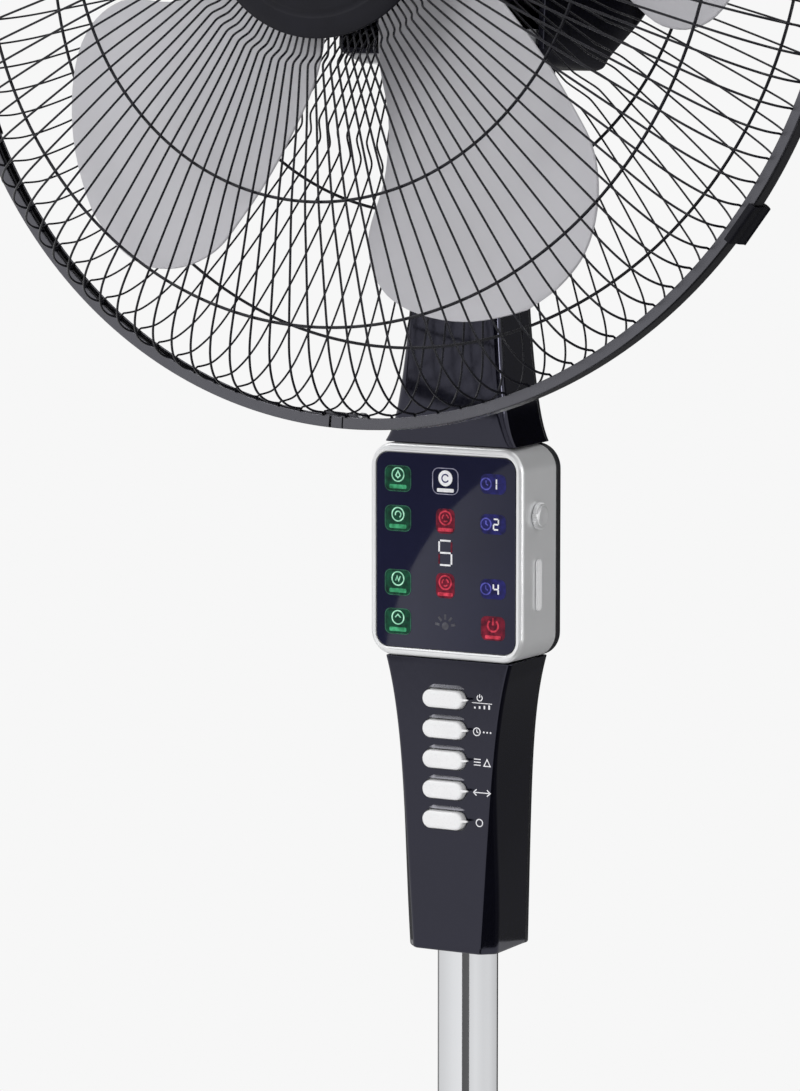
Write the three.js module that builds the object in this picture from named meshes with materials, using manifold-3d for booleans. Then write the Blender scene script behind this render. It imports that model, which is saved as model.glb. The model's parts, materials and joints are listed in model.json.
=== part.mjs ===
// Pedestal fan: a caged five-blade head that swings and tilts on a tapered control column, on a telescopic
// pole with a round weighted base.
// Millimetres, +Z up. The origin is on the pole's axis at the floor. The air leaves towards -Y, and +X is to
// the right of a viewer who faces the fan.
import * as THREE from 'three';
import { mergeVertices } from 'three/addons/utils/BufferGeometryUtils.js';
import Module from 'manifold-3d';

const wasm = await Module();
wasm.setup();

// ---------------------------------------------------------------- driving dimensions
const fit = 0.3;                  // clearance between pieces that touch

// base and pole
const baseRadius = 200;
const baseEdgeHeight = 12;
const baseCrownHeight = 40;
const baseEdgeBevel = 3;
const baseBend = [0.7, 0.6];      // share of the radius and of the rise where the cover's slope bends
const baseCrownFlat = 22;
const baseCrownDrop = 1.5;
const coverWall = 2.5;
const padHeight = 3;
const padInset = 14;              // inside the edge of the base
const padWidth = 18;
const weightInset = 16;
const weightHeight = 4;
const weightCrownRadius = 92;
const weightCrownHeight = 12;
const weightCrownSlope = 10;
const boltRecess = 4;             // room round the bolt's head
const boltRadius = 4;
const boltHeadRadius = 8;
const boltHeadHeight = 5;
const boltEnd = 4;                // above the foot's flange
const outerTubeRadius = 17;
const outerTubeWall = 1.5;
const outerTubeTop = 400;
const footSleeveWall = 4.7;
const footSleeveTop = 72;
const footFlangeRadius = 40;
const footFlangeHeight = 5;
const innerTubeRadius = 13.5;
const innerTubeWall = 1.2;
const innerTubeBottom = 120;
const guideHeight = 22;
const guideFloor = 3;
const collarWall = 4.7;
const collarHeight = 33;
const collarLipHeight = 8;
const clampBossRadius = 9;
const clampBossLength = 14;
const clampScrewRadius = 4;
const knobRadius = 16;
const knobLength = 15;
const knobLobes = 6;

// control column
const housingBottom = 541.5;
const housingHeight = 130.7;
const columnFront = -19;
const columnBack = 18;
const columnWall = 2;
const columnCorner = 2.6;
const columnSeam = 14.6;
const frontWidthLow = 17.3;       // half widths of the lower housing
const frontWidthGrowth = 8.5;
const frontWidthFlare = 5.1;
const backWidthLow = 21.3;
const backWidthGrowth = 3;
const backWidthFlare = 6;
const neckHeight = 88.8;
const neckFrontWidth = 22;        // half widths of the neck at its top
const neckFrontSpread = 8;
const neckFrontFlare = 3.5;
const neckBackWidth = 20.4;
const neckBackSpread = 8.5;
const neckBackFlare = 2;
const neckLean = 5;
const boxWidth = 77;
const boxHeight = 94.4;
const boxFront = -21;
const boxSeam = 10;
const boxBack = 19;
const boxBackStrip = 4.5;
const boxCorner = 11;
const boxWall = 3.2;
const boxDomeInset = 7;
const boxBackWall = 2.5;
const lensSideMargin = 3.5;
const lensEndMargin = 4;
const lensCorner = 6;
const lensThickness = 2;
const lensLedge = 3;
const lensLedgeThickness = 1.8;
const displayBoardGap = 4;
const boardThickness = 1.6;
const ledHeight = 2.2;
const ledSize = 8;
const digitWidth = 12;
const digitHeight = 14;
const digitDepth = 3.2;
const ledColumns = [-24, 0, 24];
const ledRows = [32, 14, -14, -32];
const crownRadius = 6;
const crownLength = 2.4;
const crownFaceLength = 0.8;
const crownFaceInset = 1.4;
const crownAbove = 17.2;
const crownBehind = 13.9;
const sideBarLength = 22.6;
const sideBarWidth = 4;
const sideBarHeight = 1.2;
const sideBarBelow = 13.2;
const buttonCount = 5;
const buttonsBelowTop = 17.4;     // first button, below the top of the housing
const buttonPitch = 13.5;
const buttonWidth = 21.6;
const buttonHeight = 9.2;
const buttonRise = 3.2;
const buttonFlange = 1.2;
const buttonFlangeThickness = 1.3;
const buttonTravel = 1.2;
const buttonStemRadius = 1.8;
const buttonStemLength = 1;
const switchSize = 6;
const switchHeight = 3.4;
const plungerRadius = 1.6;
const plungerHeight = 0.8;
const buttonBoardWidth = 24;
const buttonBoardMargin = 7.3;
const coreWidth = 22;
const coreFront = -3;
const coreBack = 9.5;
const ribWidth = 12;
const ribHeight = 3;
const coreSocketWall = 1.9;
const coreSocketRise = 6.5;       // above the bottom of the housing
const coreSocketLength = 45;
const coreSocketRoof = 5;
const glandRise = 18.5;
const glandRadius = 4.2;
const glandBore = 2.6;
const glandFlangeRadius = 6.6;
const glandFlangeLength = 2.4;
const glandTaper = 1;
const glandLength = 10;

// tilt joint
const pivotAboveNeck = 12;
const tiltAtRest = 4.45;          // degrees, air thrown upwards
const earThickness = 5.2;
const earRadius = 12;
const shoulderDepth = 22;         // of the core below the neck's top
const postBelowTop = 14;
const tongueWidth = 25.4;
const tiltScrewRadius = 4;
const tiltScrewShoulder = 3;
const tiltKnobRadius = 14;
const tiltKnobLength = 16;
const tiltKnobCap = 4;            // closed end of the knob
const tiltKnobGap = 3.5;
const tiltNutRadius = 7.5;
const tiltNutLength = 6;

// swing joint and its drive, heights above the tilt pivot
const swingPostRadius = 8;
const swingPostBottom = 18;
const bushWall = 1.6;
const yokeBossWall = 5.5;
const yokeFlangeRadius = 29;
const yokeFlangeBottom = 51.5;
const yokeFlangeTop = 54.5;
const yokeCollarTop = 62.4;
const sectorThickness = 4;
const gearModule = 1.2;
const sectorTeeth = 38;           // on the full circle
const sectorToothSpan = 7;        // teeth that are cut each side of the middle
const pinionTeeth = 9;
const toothThickness = 1.45;
const toothTip = 0.65;
const toothAddendum = 1;
const toothDedendum = 1.4;
const pinionShaftRadius = 2.5;
const swingMotorRadius = 15;
const swingMotorHeight = 13;
const pivotBlockWidth = 16;
const pivotBlockDepth = 18;
const skirtWidth = 38;            // half width across the drive
const skirtDepth = 31.5;          // half depth along the fan axis
const skirtWall = 1.8;

// fan axis, seen from the tilt pivot with the head level
const axisAbovePivot = 125.2;
const rimAheadOfPivot = 93;

// motor: distances are behind the rim's front face
const motorRadius = 40;
const motorWall = 2.6;
const motorFront = 60;
const motorSplit = 86;
const motorBack = 112;
const noseRadius = 18;
const noseFront = 44;
const bearingRadius = 10;
const bearingLength = 8;
const shaftRadius = 4;
const shaftFront = -32;
const shaftBack = 110;
const statorFront = 76;
const statorBack = 98;
const statorBore = 24.6;
const statorSlots = 6;
const windingInner = 28;
const windingOuter = 34;
const windingReach = 8;
const rotorRadius = 24.2;
const capacitorWidth = 30;
const capacitorDepth = 14;
const capacitorHeight = 20;
const capacitorCorner = 3;
const capacitorRise = 24;
const motorCoverFront = 61;
const motorCoverShoulder = 119;
const motorCoverBack = 190;
const motorCoverWidth = 51;       // half width
const motorCoverDrop = 61.5;      // below the fan axis
const motorCoverRise = 54;        // above the fan axis
const motorCoverWall = 2.5;
const motorCoverCorner = 2.2;
const motorCoverFrontLift = 3.5;  // the floor's front edge, above the rest of it
const motorCoverFloorRun = 15;
const motorCoverEnd = 8;          // rounding of the tail's end
const coverScrewRadius = 2.5;
const screwBossRadius = 6;
const screwBossLength = 14;

// blades
const hubRadius = 34;
const hubFront = -27;
const hubBack = 16;
const hubBevel = 3;
const hubBossRadius = 15;
const hubBossBack = 24;
const bladeCount = 5;
const bladeFirstAngle = -132.2;
const bladePlane = -7.5;
const bladePitch = 38.8;          // forward travel for each radian round the axis, at the reference radius
const bladePitchGrowth = 0.21;
const bladePitchRadius = 120;
const bladeThickness = 2.2;
const bladeLeading = [
  [28, 36], [61, 39], [100, 31], [137, 24.3], [158, 20.7], [174, 15], [183.5, 8.8], [186.6, 3]];
const bladeTrailing = [
  [28, -31], [61, -30], [85, -25.6], [110, -27], [140, -31.7], [163, -27.3], [178, -15.5], [186.6, -3]];
const spinnerRadius = 15;
const spinnerFront = -37;
const spinnerSlope = 6;
const drivePinRadius = 1.5;
const drivePinLength = 24;
const drivePinAt = 20.5;

// guards
const rimRadius = 220;
const rimWall = 1.4;
const rimDepth = 8.4;
const rimFlange = 5;
const ringWire = 1.15;            // wire radii
const spokeWire = 0.9;
const frontRingAt = 2.7;
const rearRingAt = 5.7;
const spokeCount = 16;
const frontSupportRings = [[43, -33.7], [95, -41.7]];   // each point: in from the rim's outside, and depth
const rearSupportRings = [[35, 35.4], [92.7, 50.4]];
const frontSpokeLine = [[6.6, 2], [9, -13], [21, -27], [43, -33.7], [95, -41.7]];
const rearSpokeLine = [[6.6, 6.4], [9, 18], [19, 28], [35, 35.4], [92.7, 50.4]];
const frontPlateRadius = 56;
const frontPlateAt = -41;
const frontPlateThickness = 2;
const badgeRadius = 57.5;
const badgeThickness = 3.5;
const badgeCrown = 2.5;
const badgeStep = 0.8;
const rearPlateRadius = 50;
const rearPlateAt = 54.5;
const rearPlateThickness = 2.5;
const guardNutRadius = 33;
const guardNutLength = 7;
const rimSplitAngle = -93;
const rimSplitWidth = 1.2;
const rimLugLength = 7;
const rimLugWidth = 7.4;
const rimLugHeight = 8;
const rimScrewRadius = 1.7;
const clipAngles = [-35.6, 84.4, 204.4];
const clipLength = 20;
const clipThickness = 2.4;
const clipPinRadius = 1.5;
const clipEyeWall = 1.4;
const clipPinBehind = 3.2;
const clipPinBelow = 1;

// ---------------------------------------------------------------- derived places
const beyond = 4000;              // further out than any piece
const padRadius = baseRadius - padInset;
const weightRadius = baseRadius - weightInset;
const housingTop = housingBottom + housingHeight;
const boxCentre = housingTop + fit + boxHeight / 2;
const neckBottom = boxCentre + boxHeight / 2 + fit;
const neckTop = neckBottom + neckHeight;
const pivotHeight = neckTop + pivotAboveNeck;
const buttonTop = housingTop - buttonsBelowTop;
const glandHeight = housingBottom + glandRise;
const coreSocketBottom = housingBottom + coreSocketRise;
const coreSocketTop = coreSocketBottom + coreSocketLength;
const innerTubeTop = coreSocketTop - coreSocketRoof;
const collarBottom = outerTubeTop + collarLipHeight - collarHeight;
const clampHeight = (collarBottom + outerTubeTop) / 2;
const weightBottom = padHeight + fit;
const weightTop = weightBottom + weightHeight;
const weightCrownTop = weightBottom + weightCrownHeight;
const footBottom = weightCrownTop + fit;
const footSleeveRadius = outerTubeRadius + fit + footSleeveWall;
const coreSocketRadius = innerTubeRadius + fit + coreSocketWall;
const lensWidth = boxWidth - 2 * lensSideMargin;
const lensHeight = boxHeight - 2 * lensEndMargin;
const lensBack = boxFront + lensThickness;
const displayBoardFront = lensBack + fit + lensLedgeThickness + displayBoardGap;
const housingFrontInner = columnFront + columnWall;
const buttonFlangeFront = housingFrontInner + fit;
const buttonStemEnd = buttonFlangeFront + buttonFlangeThickness + buttonStemLength;
const plungerTip = buttonStemEnd + buttonTravel + fit;
const switchFront = plungerTip + plungerHeight;
const buttonBoardFront = switchFront + switchHeight;
const bushRadius = swingPostRadius + fit + bushWall;
const yokeBossRadius = bushRadius + fit + yokeBossWall;
const yokeCollarRadius = bushRadius + fit + 3;
const sectorBottom = yokeFlangeTop + fit;
const sectorPitchRadius = gearModule * sectorTeeth / 2;
const pinionPitchRadius = gearModule * pinionTeeth / 2;
const pinionBeside = sectorPitchRadius + pinionPitchRadius;
const coverFloor = axisAbovePivot - motorCoverDrop;
const headFloor = coverFloor + motorCoverWall + fit;
const rimRingRadius = rimRadius - rimWall - fit - ringWire - 0.05;

// ---------------------------------------------------------------- helpers
const radians = THREE.MathUtils.degToRad;
const point = (x, y) => new THREE.Vector2(x, y);

function signedVolume(geometry) {
  const place = geometry.getAttribute('position');
  const index = geometry.getIndex();
  const corner = [new THREE.Vector3(), new THREE.Vector3(), new THREE.Vector3()];
  let sum = 0;
  for (let i = 0; i < index.count; i += 3) {
    corner.forEach((v, k) => v.fromBufferAttribute(place, index.getX(i + k)));
    sum += corner[0].dot(corner[1].clone().cross(corner[2]));
  }
  return sum / 6;
}

// A closed three.js geometry as a manifold solid, with its faces pointing out.
function toSolid(geometry) {
  let bare = geometry.clone();
  bare.deleteAttribute('normal');
  bare.deleteAttribute('uv');
  bare = mergeVertices(bare, 1e-4);
  const triVerts = Uint32Array.from(bare.getIndex().array);
  if (signedVolume(bare) < 0) {
    for (let i = 0; i < triVerts.length; i += 3) {
      [triVerts[i], triVerts[i + 1]] = [triVerts[i + 1], triVerts[i]];
    }
  }
  const kept = [];
  for (let i = 0; i < triVerts.length; i += 3) {
    const [a, b, c] = triVerts.slice(i, i + 3);
    if (a !== b && b !== c && c !== a) kept.push(a, b, c);
  }
  const vertProperties = Float32Array.from(bare.getAttribute('position').array);
  return new wasm.Manifold(new wasm.Mesh({ numProp: 3, vertProperties, triVerts: Uint32Array.from(kept) }));
}

function toGeometry(solid) {
  const mesh = solid.getMesh();
  const geometry = new THREE.BufferGeometry();
  geometry.setAttribute('position', new THREE.BufferAttribute(Float32Array.from(mesh.vertProperties), 3));
  geometry.setIndex(new THREE.BufferAttribute(Uint32Array.from(mesh.triVerts), 1));
  return geometry;
}

const join = (...parts) => toGeometry(parts.map(toSolid).reduce((all, next) => all.add(next)));
const cut = (body, ...tools) => (
  toGeometry(tools.map(toSolid).reduce((left, tool) => left.subtract(tool), toSolid(body))));
const overlap = (a, b) => toGeometry(toSolid(a).intersect(toSolid(b)));

function block(x0, x1, y0, y1, z0, z1) {
  const geometry = new THREE.BoxGeometry(x1 - x0, y1 - y0, z1 - z0);
  return geometry.translate((x0 + x1) / 2, (y0 + y1) / 2, (z0 + z1) / 2);
}

// A profile of [radius, height] turned round Z.
function turned(profile, segments = 20) {
  return new THREE.LatheGeometry(profile.map(([r, z]) => point(r, z)), segments).rotateX(Math.PI / 2);
}

// A profile of [radius, depth] turned round the fan's own axis, which is local Y.
function spun(profile, segments = 20) {
  return new THREE.LatheGeometry(profile.map(([r, y]) => point(r, y)), segments);
}

const pipe = (inner, outer, low, high) => (
  [[inner, low], [outer, low], [outer, high], [inner, high], [inner, low]]);
const bar = (radius, low, high) => [[0, low], [radius, low], [radius, high], [0, high]];

function rodX(radius, x0, x1, segments = 10) {
  const rod = new THREE.CylinderGeometry(radius, radius, x1 - x0, segments);
  return rod.rotateZ(Math.PI / 2).translate((x0 + x1) / 2, 0, 0);
}

function rodY(radius, y0, y1, segments = 10) {
  return new THREE.CylinderGeometry(radius, radius, y1 - y0, segments).translate(0, (y0 + y1) / 2, 0);
}

function rodZ(radius, z0, z1, segments = 16) {
  const rod = new THREE.CylinderGeometry(radius, radius, z1 - z0, segments);
  return rod.rotateX(Math.PI / 2).translate(0, 0, (z0 + z1) / 2);
}

function roundedRectangle(width, height, radius) {
  const shape = new THREE.Shape();
  const x = width / 2;
  const y = height / 2;
  shape.moveTo(-x + radius, -y);
  shape.lineTo(x - radius, -y);
  shape.absarc(x - radius, -y + radius, radius, -Math.PI / 2, 0);
  shape.lineTo(x, y - radius);
  shape.absarc(x - radius, y - radius, radius, 0, Math.PI / 2);
  shape.lineTo(-x + radius, y);
  shape.absarc(-x + radius, y - radius, radius, Math.PI / 2, Math.PI);
  shape.lineTo(-x, -y + radius);
  shape.absarc(-x + radius, -y + radius, radius, Math.PI, Math.PI * 1.5);
  return shape;
}

// A shape drawn in X and Z, given thickness along Y.
function slab(shape, y0, y1, curveSegments = 6) {
  const settings = { depth: y1 - y0, bevelEnabled: false, curveSegments };
  return new THREE.ExtrudeGeometry(shape, settings).rotateX(Math.PI / 2).translate(0, y1, 0);
}

const roundedSlab = (width, height, radius, y0, y1, arcSteps = 3) => (
  slab(roundedRectangle(width, height, radius), y0, y1, arcSteps));

// A body whose section changes from station to station: sectionAt(t) gives the closed loop of points at t.
function loft(sectionAt, stations) {
  const loops = stations.map(sectionAt);
  const sides = loops[0].length;
  const geometry = new THREE.CylinderGeometry(1, 1, 1, sides, stations.length - 1);
  const place = geometry.getAttribute('position');
  for (let i = 0; i < place.count; i += 1) {
    const x = place.getX(i);
    const z = place.getZ(i);
    const loop = loops[Math.round((place.getY(i) + 0.5) * (stations.length - 1))];
    const turn = Math.round(Math.atan2(x, z) / (2 * Math.PI) * sides);
    const middle = loop.reduce((sum, p) => sum.add(p), new THREE.Vector3()).divideScalar(sides);
    const target = Math.hypot(x, z) < 0.5 ? middle : loop[(turn + sides) % sides];
    place.setXYZ(i, target.x, target.y, target.z);
  }
  return geometry;
}

// The corners of a convex outline rounded with arcs of the given radius.
function roundedLoop(corners, radius, steps = 2) {
  const loop = [];
  corners.forEach((corner, i) => {
    const before = corners[(i + corners.length - 1) % corners.length];
    const after = corners[(i + 1) % corners.length];
    const inward = before.clone().sub(corner).normalize();
    const outward = after.clone().sub(corner).normalize();
    const half = inward.angleTo(outward) / 2;
    const reach = radius / Math.tan(half);
    const start = corner.clone().addScaledVector(inward, reach);
    const end = corner.clone().addScaledVector(outward, reach);
    const curve = new THREE.QuadraticBezierCurve(start, corner, end);
    loop.push(...curve.getPoints(steps));
  });
  return loop;
}

// A smooth curve that is sampled at its own points, so that each bend stays where it is drawn.
class BentCurve extends THREE.CatmullRomCurve3 {
  getUtoTmapping(u) {
    return u;
  }
}

function wireAlong(points, radius) {
  const corner = (degrees) => point(radius * Math.cos(radians(degrees)), radius * Math.sin(radians(degrees)));
  const section = new THREE.Shape([0, 120, 240].map(corner));
  const extrudePath = new BentCurve(points);
  return new THREE.ExtrudeGeometry(section, { steps: points.length - 1, bevelEnabled: false, extrudePath });
}

const finish = (color, roughness, metalness = 0) => (
  new THREE.MeshStandardMaterial({ color, roughness, metalness }));
const finishes = {
  gloss: finish(0x1c1c22, 0.2),
  satin: finish(0x17171b, 0.5),
  chrome: finish(0xd0d2d6, 0.12, 1),
  silver: finish(0xc4c6c9, 0.35, 0.5),
  white: finish(0xf1f1f3, 0.3),
  blade: finish(0xb1b0b5, 0.45),
  wire: finish(0x222226, 0.4, 0.3),
  band: finish(0x55555b, 0.45),
  glass: finish(0x10101c, 0.08),
  steel: finish(0x9ea1a6, 0.35, 1),
  iron: finish(0x46474a, 0.8, 0.6),
  copper: finish(0xb0673a, 0.4, 0.9),
  brass: finish(0xb89d5b, 0.35, 1),
  board: finish(0x20533a, 0.6),
  rubber: finish(0x202022, 0.9),
};

function add(parent, name, geometry, material) {
  const mesh = new THREE.Mesh(toGeometry(toSolid(geometry)), material);
  mesh.name = name;
  parent.add(mesh);
  return mesh;
}

const fan = new THREE.Group();

// ---------------------------------------------------------------- base
function addBase() {
  const pad = turned(pipe(padRadius - padWidth, padRadius, 0, padHeight), 28);
  add(fan, 'base_pad', pad, finishes.rubber);

  const recess = boltHeadRadius + boltRecess;
  const weight = turned([
    [boltRadius + fit, weightBottom + boltHeadHeight + fit], [recess, weightBottom + boltHeadHeight + fit],
    [recess, weightBottom], [weightRadius, weightBottom], [weightRadius, weightTop],
    [weightCrownRadius, weightTop], [weightCrownRadius - weightCrownSlope, weightCrownTop],
    [boltRadius + fit, weightCrownTop],
    [boltRadius + fit, weightBottom + boltHeadHeight + fit]], 28);
  add(fan, 'base_weight', weight, finishes.iron);

  const opening = footSleeveRadius + fit;
  const crown = opening + baseCrownFlat;
  const skin = [
    [baseRadius, weightBottom], [baseRadius, baseEdgeHeight - baseEdgeBevel],
    [baseRadius - baseEdgeBevel, baseEdgeHeight],
    [baseRadius * baseBend[0], baseEdgeHeight + (baseCrownHeight - baseEdgeHeight) * baseBend[1]],
    [crown, baseCrownHeight - baseCrownDrop], [opening, baseCrownHeight]];
  const lining = skin.slice(1).reverse()
    .map(([r, z]) => [Math.min(r, baseRadius - coverWall), z - coverWall]);
  const shell = [...skin, ...lining, [baseRadius - coverWall, weightBottom], skin[0]];
  add(fan, 'base_cover', turned(shell, 32), finishes.gloss);

  const footFlangeTop = footBottom + footFlangeHeight;
  const foot = turned([
    [boltRadius + fit, footBottom], [footFlangeRadius, footBottom], [footFlangeRadius, footFlangeTop],
    [footSleeveRadius, footFlangeTop], [footSleeveRadius, footSleeveTop],
    [outerTubeRadius + fit, footSleeveTop], [outerTubeRadius + fit, footFlangeTop],
    [boltRadius + fit, footFlangeTop], [boltRadius + fit, footBottom]]);
  add(fan, 'tube_foot', foot, finishes.satin);

  const head = turned(bar(boltHeadRadius, weightBottom, weightBottom + boltHeadHeight), 6);
  const shank = turned(bar(boltRadius, weightBottom + 1, footFlangeTop + boltEnd), 20);
  add(fan, 'base_bolt', join(head, shank), finishes.steel);
}

// ---------------------------------------------------------------- pole
function addPole() {
  const tubeBottom = footBottom + footFlangeHeight + fit;
  const bore = outerTubeRadius - outerTubeWall;
  const tube = turned(pipe(bore, outerTubeRadius, tubeBottom, outerTubeTop));
  const hole = rodY(clampScrewRadius + fit, 0, outerTubeRadius + 1).translate(0, 0, clampHeight);
  add(fan, 'outer_tube', cut(tube, hole), finishes.chrome);

  const collarRadius = outerTubeRadius + fit + collarWall;
  const collar = turned([
    [outerTubeRadius + fit, collarBottom], [collarRadius - 1, collarBottom], [collarRadius, collarBottom + 1],
    [collarRadius, outerTubeTop + collarLipHeight - 4], [collarRadius - 4, outerTubeTop + collarLipHeight],
    [innerTubeRadius + fit, outerTubeTop + collarLipHeight], [innerTubeRadius + fit, outerTubeTop + fit],
    [outerTubeRadius + fit, outerTubeTop + fit], [outerTubeRadius + fit, collarBottom]]);
  const bossEnd = outerTubeRadius + clampBossLength + collarWall;
  const boss = rodY(clampBossRadius, outerTubeRadius + 1.5, bossEnd).translate(0, 0, clampHeight);
  const thread = rodY(clampScrewRadius + fit, 0, bossEnd + 1).translate(0, 0, clampHeight);
  const throat = rodZ(outerTubeRadius + fit, collarBottom - 1, outerTubeTop + fit, 20);
  add(fan, 'height_collar', cut(join(collar, cut(boss, throat)), thread), finishes.satin);

  const grip = lobedKnob(knobRadius, knobLength).rotateX(-Math.PI / 2).translate(0, bossEnd + fit, 0);
  const screw = rodY(clampScrewRadius, innerTubeRadius + fit, bossEnd + fit + 2);
  add(fan, 'height_knob', join(grip, screw), finishes.satin).position.set(0, 0, clampHeight);
}

// A hand knob with lobes, from Z = 0 to its length.
function lobedKnob(radius, length) {
  const outline = new THREE.Shape();
  const steps = knobLobes * 3;
  for (let i = 0; i < steps; i += 1) {
    const angle = i / steps * Math.PI * 2;
    const r = radius * (0.92 + 0.08 * Math.cos(angle * knobLobes));
    if (i === 0) outline.moveTo(r, 0);
    else outline.lineTo(r * Math.cos(angle), r * Math.sin(angle));
  }
  const bevel = 1.5;
  const settings = {
    depth: length - 2 * bevel, bevelThickness: bevel, bevelSize: bevel, bevelOffset: -bevel, bevelSegments: 1,
  };
  return new THREE.ExtrudeGeometry(outline, settings).translate(0, 0, bevel);
}

// ---------------------------------------------------------------- control column
function housingSection(z) {
  const t = (z - housingBottom) / (housingTop - housingBottom);
  return {
    front: frontWidthLow + frontWidthGrowth * t + frontWidthFlare * t ** 6,
    back: backWidthLow + backWidthGrowth * t + backWidthFlare * t ** 6,
    face: columnFront,
  };
}

function neckSection(z) {
  const t = 1 - (z - neckBottom) / (neckTop - neckBottom);
  return {
    front: neckFrontWidth + neckFrontSpread * t ** 2 + neckFrontFlare * t ** 14,
    back: neckBackWidth + neckBackSpread * t ** 2 + neckBackFlare * t ** 14,
    face: columnFront + 0.5 + neckLean * (1 - t),
  };
}

// The solid inside a column section, drawn in from the outside by inset.
function columnBody(section, stations, inset) {
  const loopAt = (z) => {
    const { front, back, face } = section(z);
    const corners = [
      point(-front + inset, face + inset), point(front - inset, face + inset),
      point(back - inset, columnBack - inset), point(-back + inset, columnBack - inset)];
    const radius = Math.max(columnCorner - inset, 0.8);
    return roundedLoop(corners, radius).map((p) => new THREE.Vector3(p.x, p.y, z));
  };
  return loft(loopAt, stations);
}

function spread(low, high, count, power = 1) {
  return Array.from({ length: count + 1 }, (_, i) => low + (high - low) * (1 - (1 - i / count) ** power));
}

const slice = (y0, y1) => block(-beyond, beyond, y0, y1, -beyond, beyond);

function addLowerHousing(column) {
  const stations = spread(housingBottom, housingTop, 6, 1.6);
  const through = [housingBottom - 1, ...stations.slice(1, -1), housingTop + 1];
  const outside = columnBody(housingSection, stations, 0);
  const inside = columnBody(housingSection, through, columnWall);
  const shell = cut(outside, inside);
  const holes = buttonHeights().map((z) => buttonOutline(fit).translate(0, 0, z));
  const front = cut(overlap(shell, slice(-beyond, columnSeam)), ...holes);
  add(column, 'lower_housing', front, finishes.gloss);

  const bore = rodY(glandRadius + fit, 0, 40).translate(0, 0, glandHeight);
  const socketRoom = rodZ(coreSocketRadius + fit, housingBottom - 1, coreSocketTop + fit, 24);
  const back = cut(overlap(outside, slice(columnSeam + fit, beyond)), bore, socketRoom);
  add(column, 'lower_housing_back', back, finishes.satin);

  const flangeBack = columnBack + glandFlangeLength;
  const glandFront = coreSocketRadius + fit;
  const gland = turned([
    [glandBore, glandFront], [glandRadius, glandFront], [glandRadius, columnBack + fit],
    [glandFlangeRadius, columnBack + fit], [glandFlangeRadius, flangeBack], [glandRadius, flangeBack],
    [glandRadius - glandTaper, columnBack + glandLength], [glandBore, columnBack + glandLength],
    [glandBore, glandFront]], 12).rotateX(-Math.PI / 2);
  add(column, 'cable_gland', gland, finishes.rubber).position.z = glandHeight;
}

const buttonHeights = () => Array.from({ length: buttonCount }, (_, i) => buttonTop - i * buttonPitch);

// The stadium outline of a button, grown by margin, deep enough to pass through the front wall.
function buttonOutline(margin) {
  const width = buttonWidth + 2 * margin;
  const height = buttonHeight + 2 * margin;
  return roundedSlab(width, height, height / 2 - 0.01, columnFront - buttonRise, buttonFlangeFront, 3);
}

function addButtons(column) {
  const cap = buttonOutline(0);
  const width = buttonWidth + 2 * buttonFlange;
  const height = buttonHeight + 2 * buttonFlange;
  const flangeBack = buttonFlangeFront + buttonFlangeThickness;
  const flange = roundedSlab(width, height, height / 2 - 0.01, buttonFlangeFront, flangeBack, 3);
  const stem = rodY(buttonStemRadius, buttonFlangeFront + 0.5, buttonStemEnd, 8);
  buttonHeights().forEach((z, i) => {
    add(column, `button_${i + 1}`, join(cap, flange, stem), finishes.white).position.z = z;
  });

  const half = switchSize / 2;
  const middle = buttonTop - (buttonCount - 1) * buttonPitch / 2;
  const length = (buttonCount - 1) * buttonPitch / 2 + buttonBoardMargin;
  const board = block(
    -buttonBoardWidth / 2, buttonBoardWidth / 2, buttonBoardFront, buttonBoardFront + boardThickness,
    middle - length, middle + length);
  const switches = buttonHeights().flatMap((z) => [
    block(-half, half, switchFront, buttonBoardFront + 0.5, z - half, z + half),
    rodY(plungerRadius, plungerTip, switchFront + 0.5, 8).translate(0, 0, z)]);
  add(column, 'button_board', join(board, ...switches), finishes.board);
}

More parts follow.
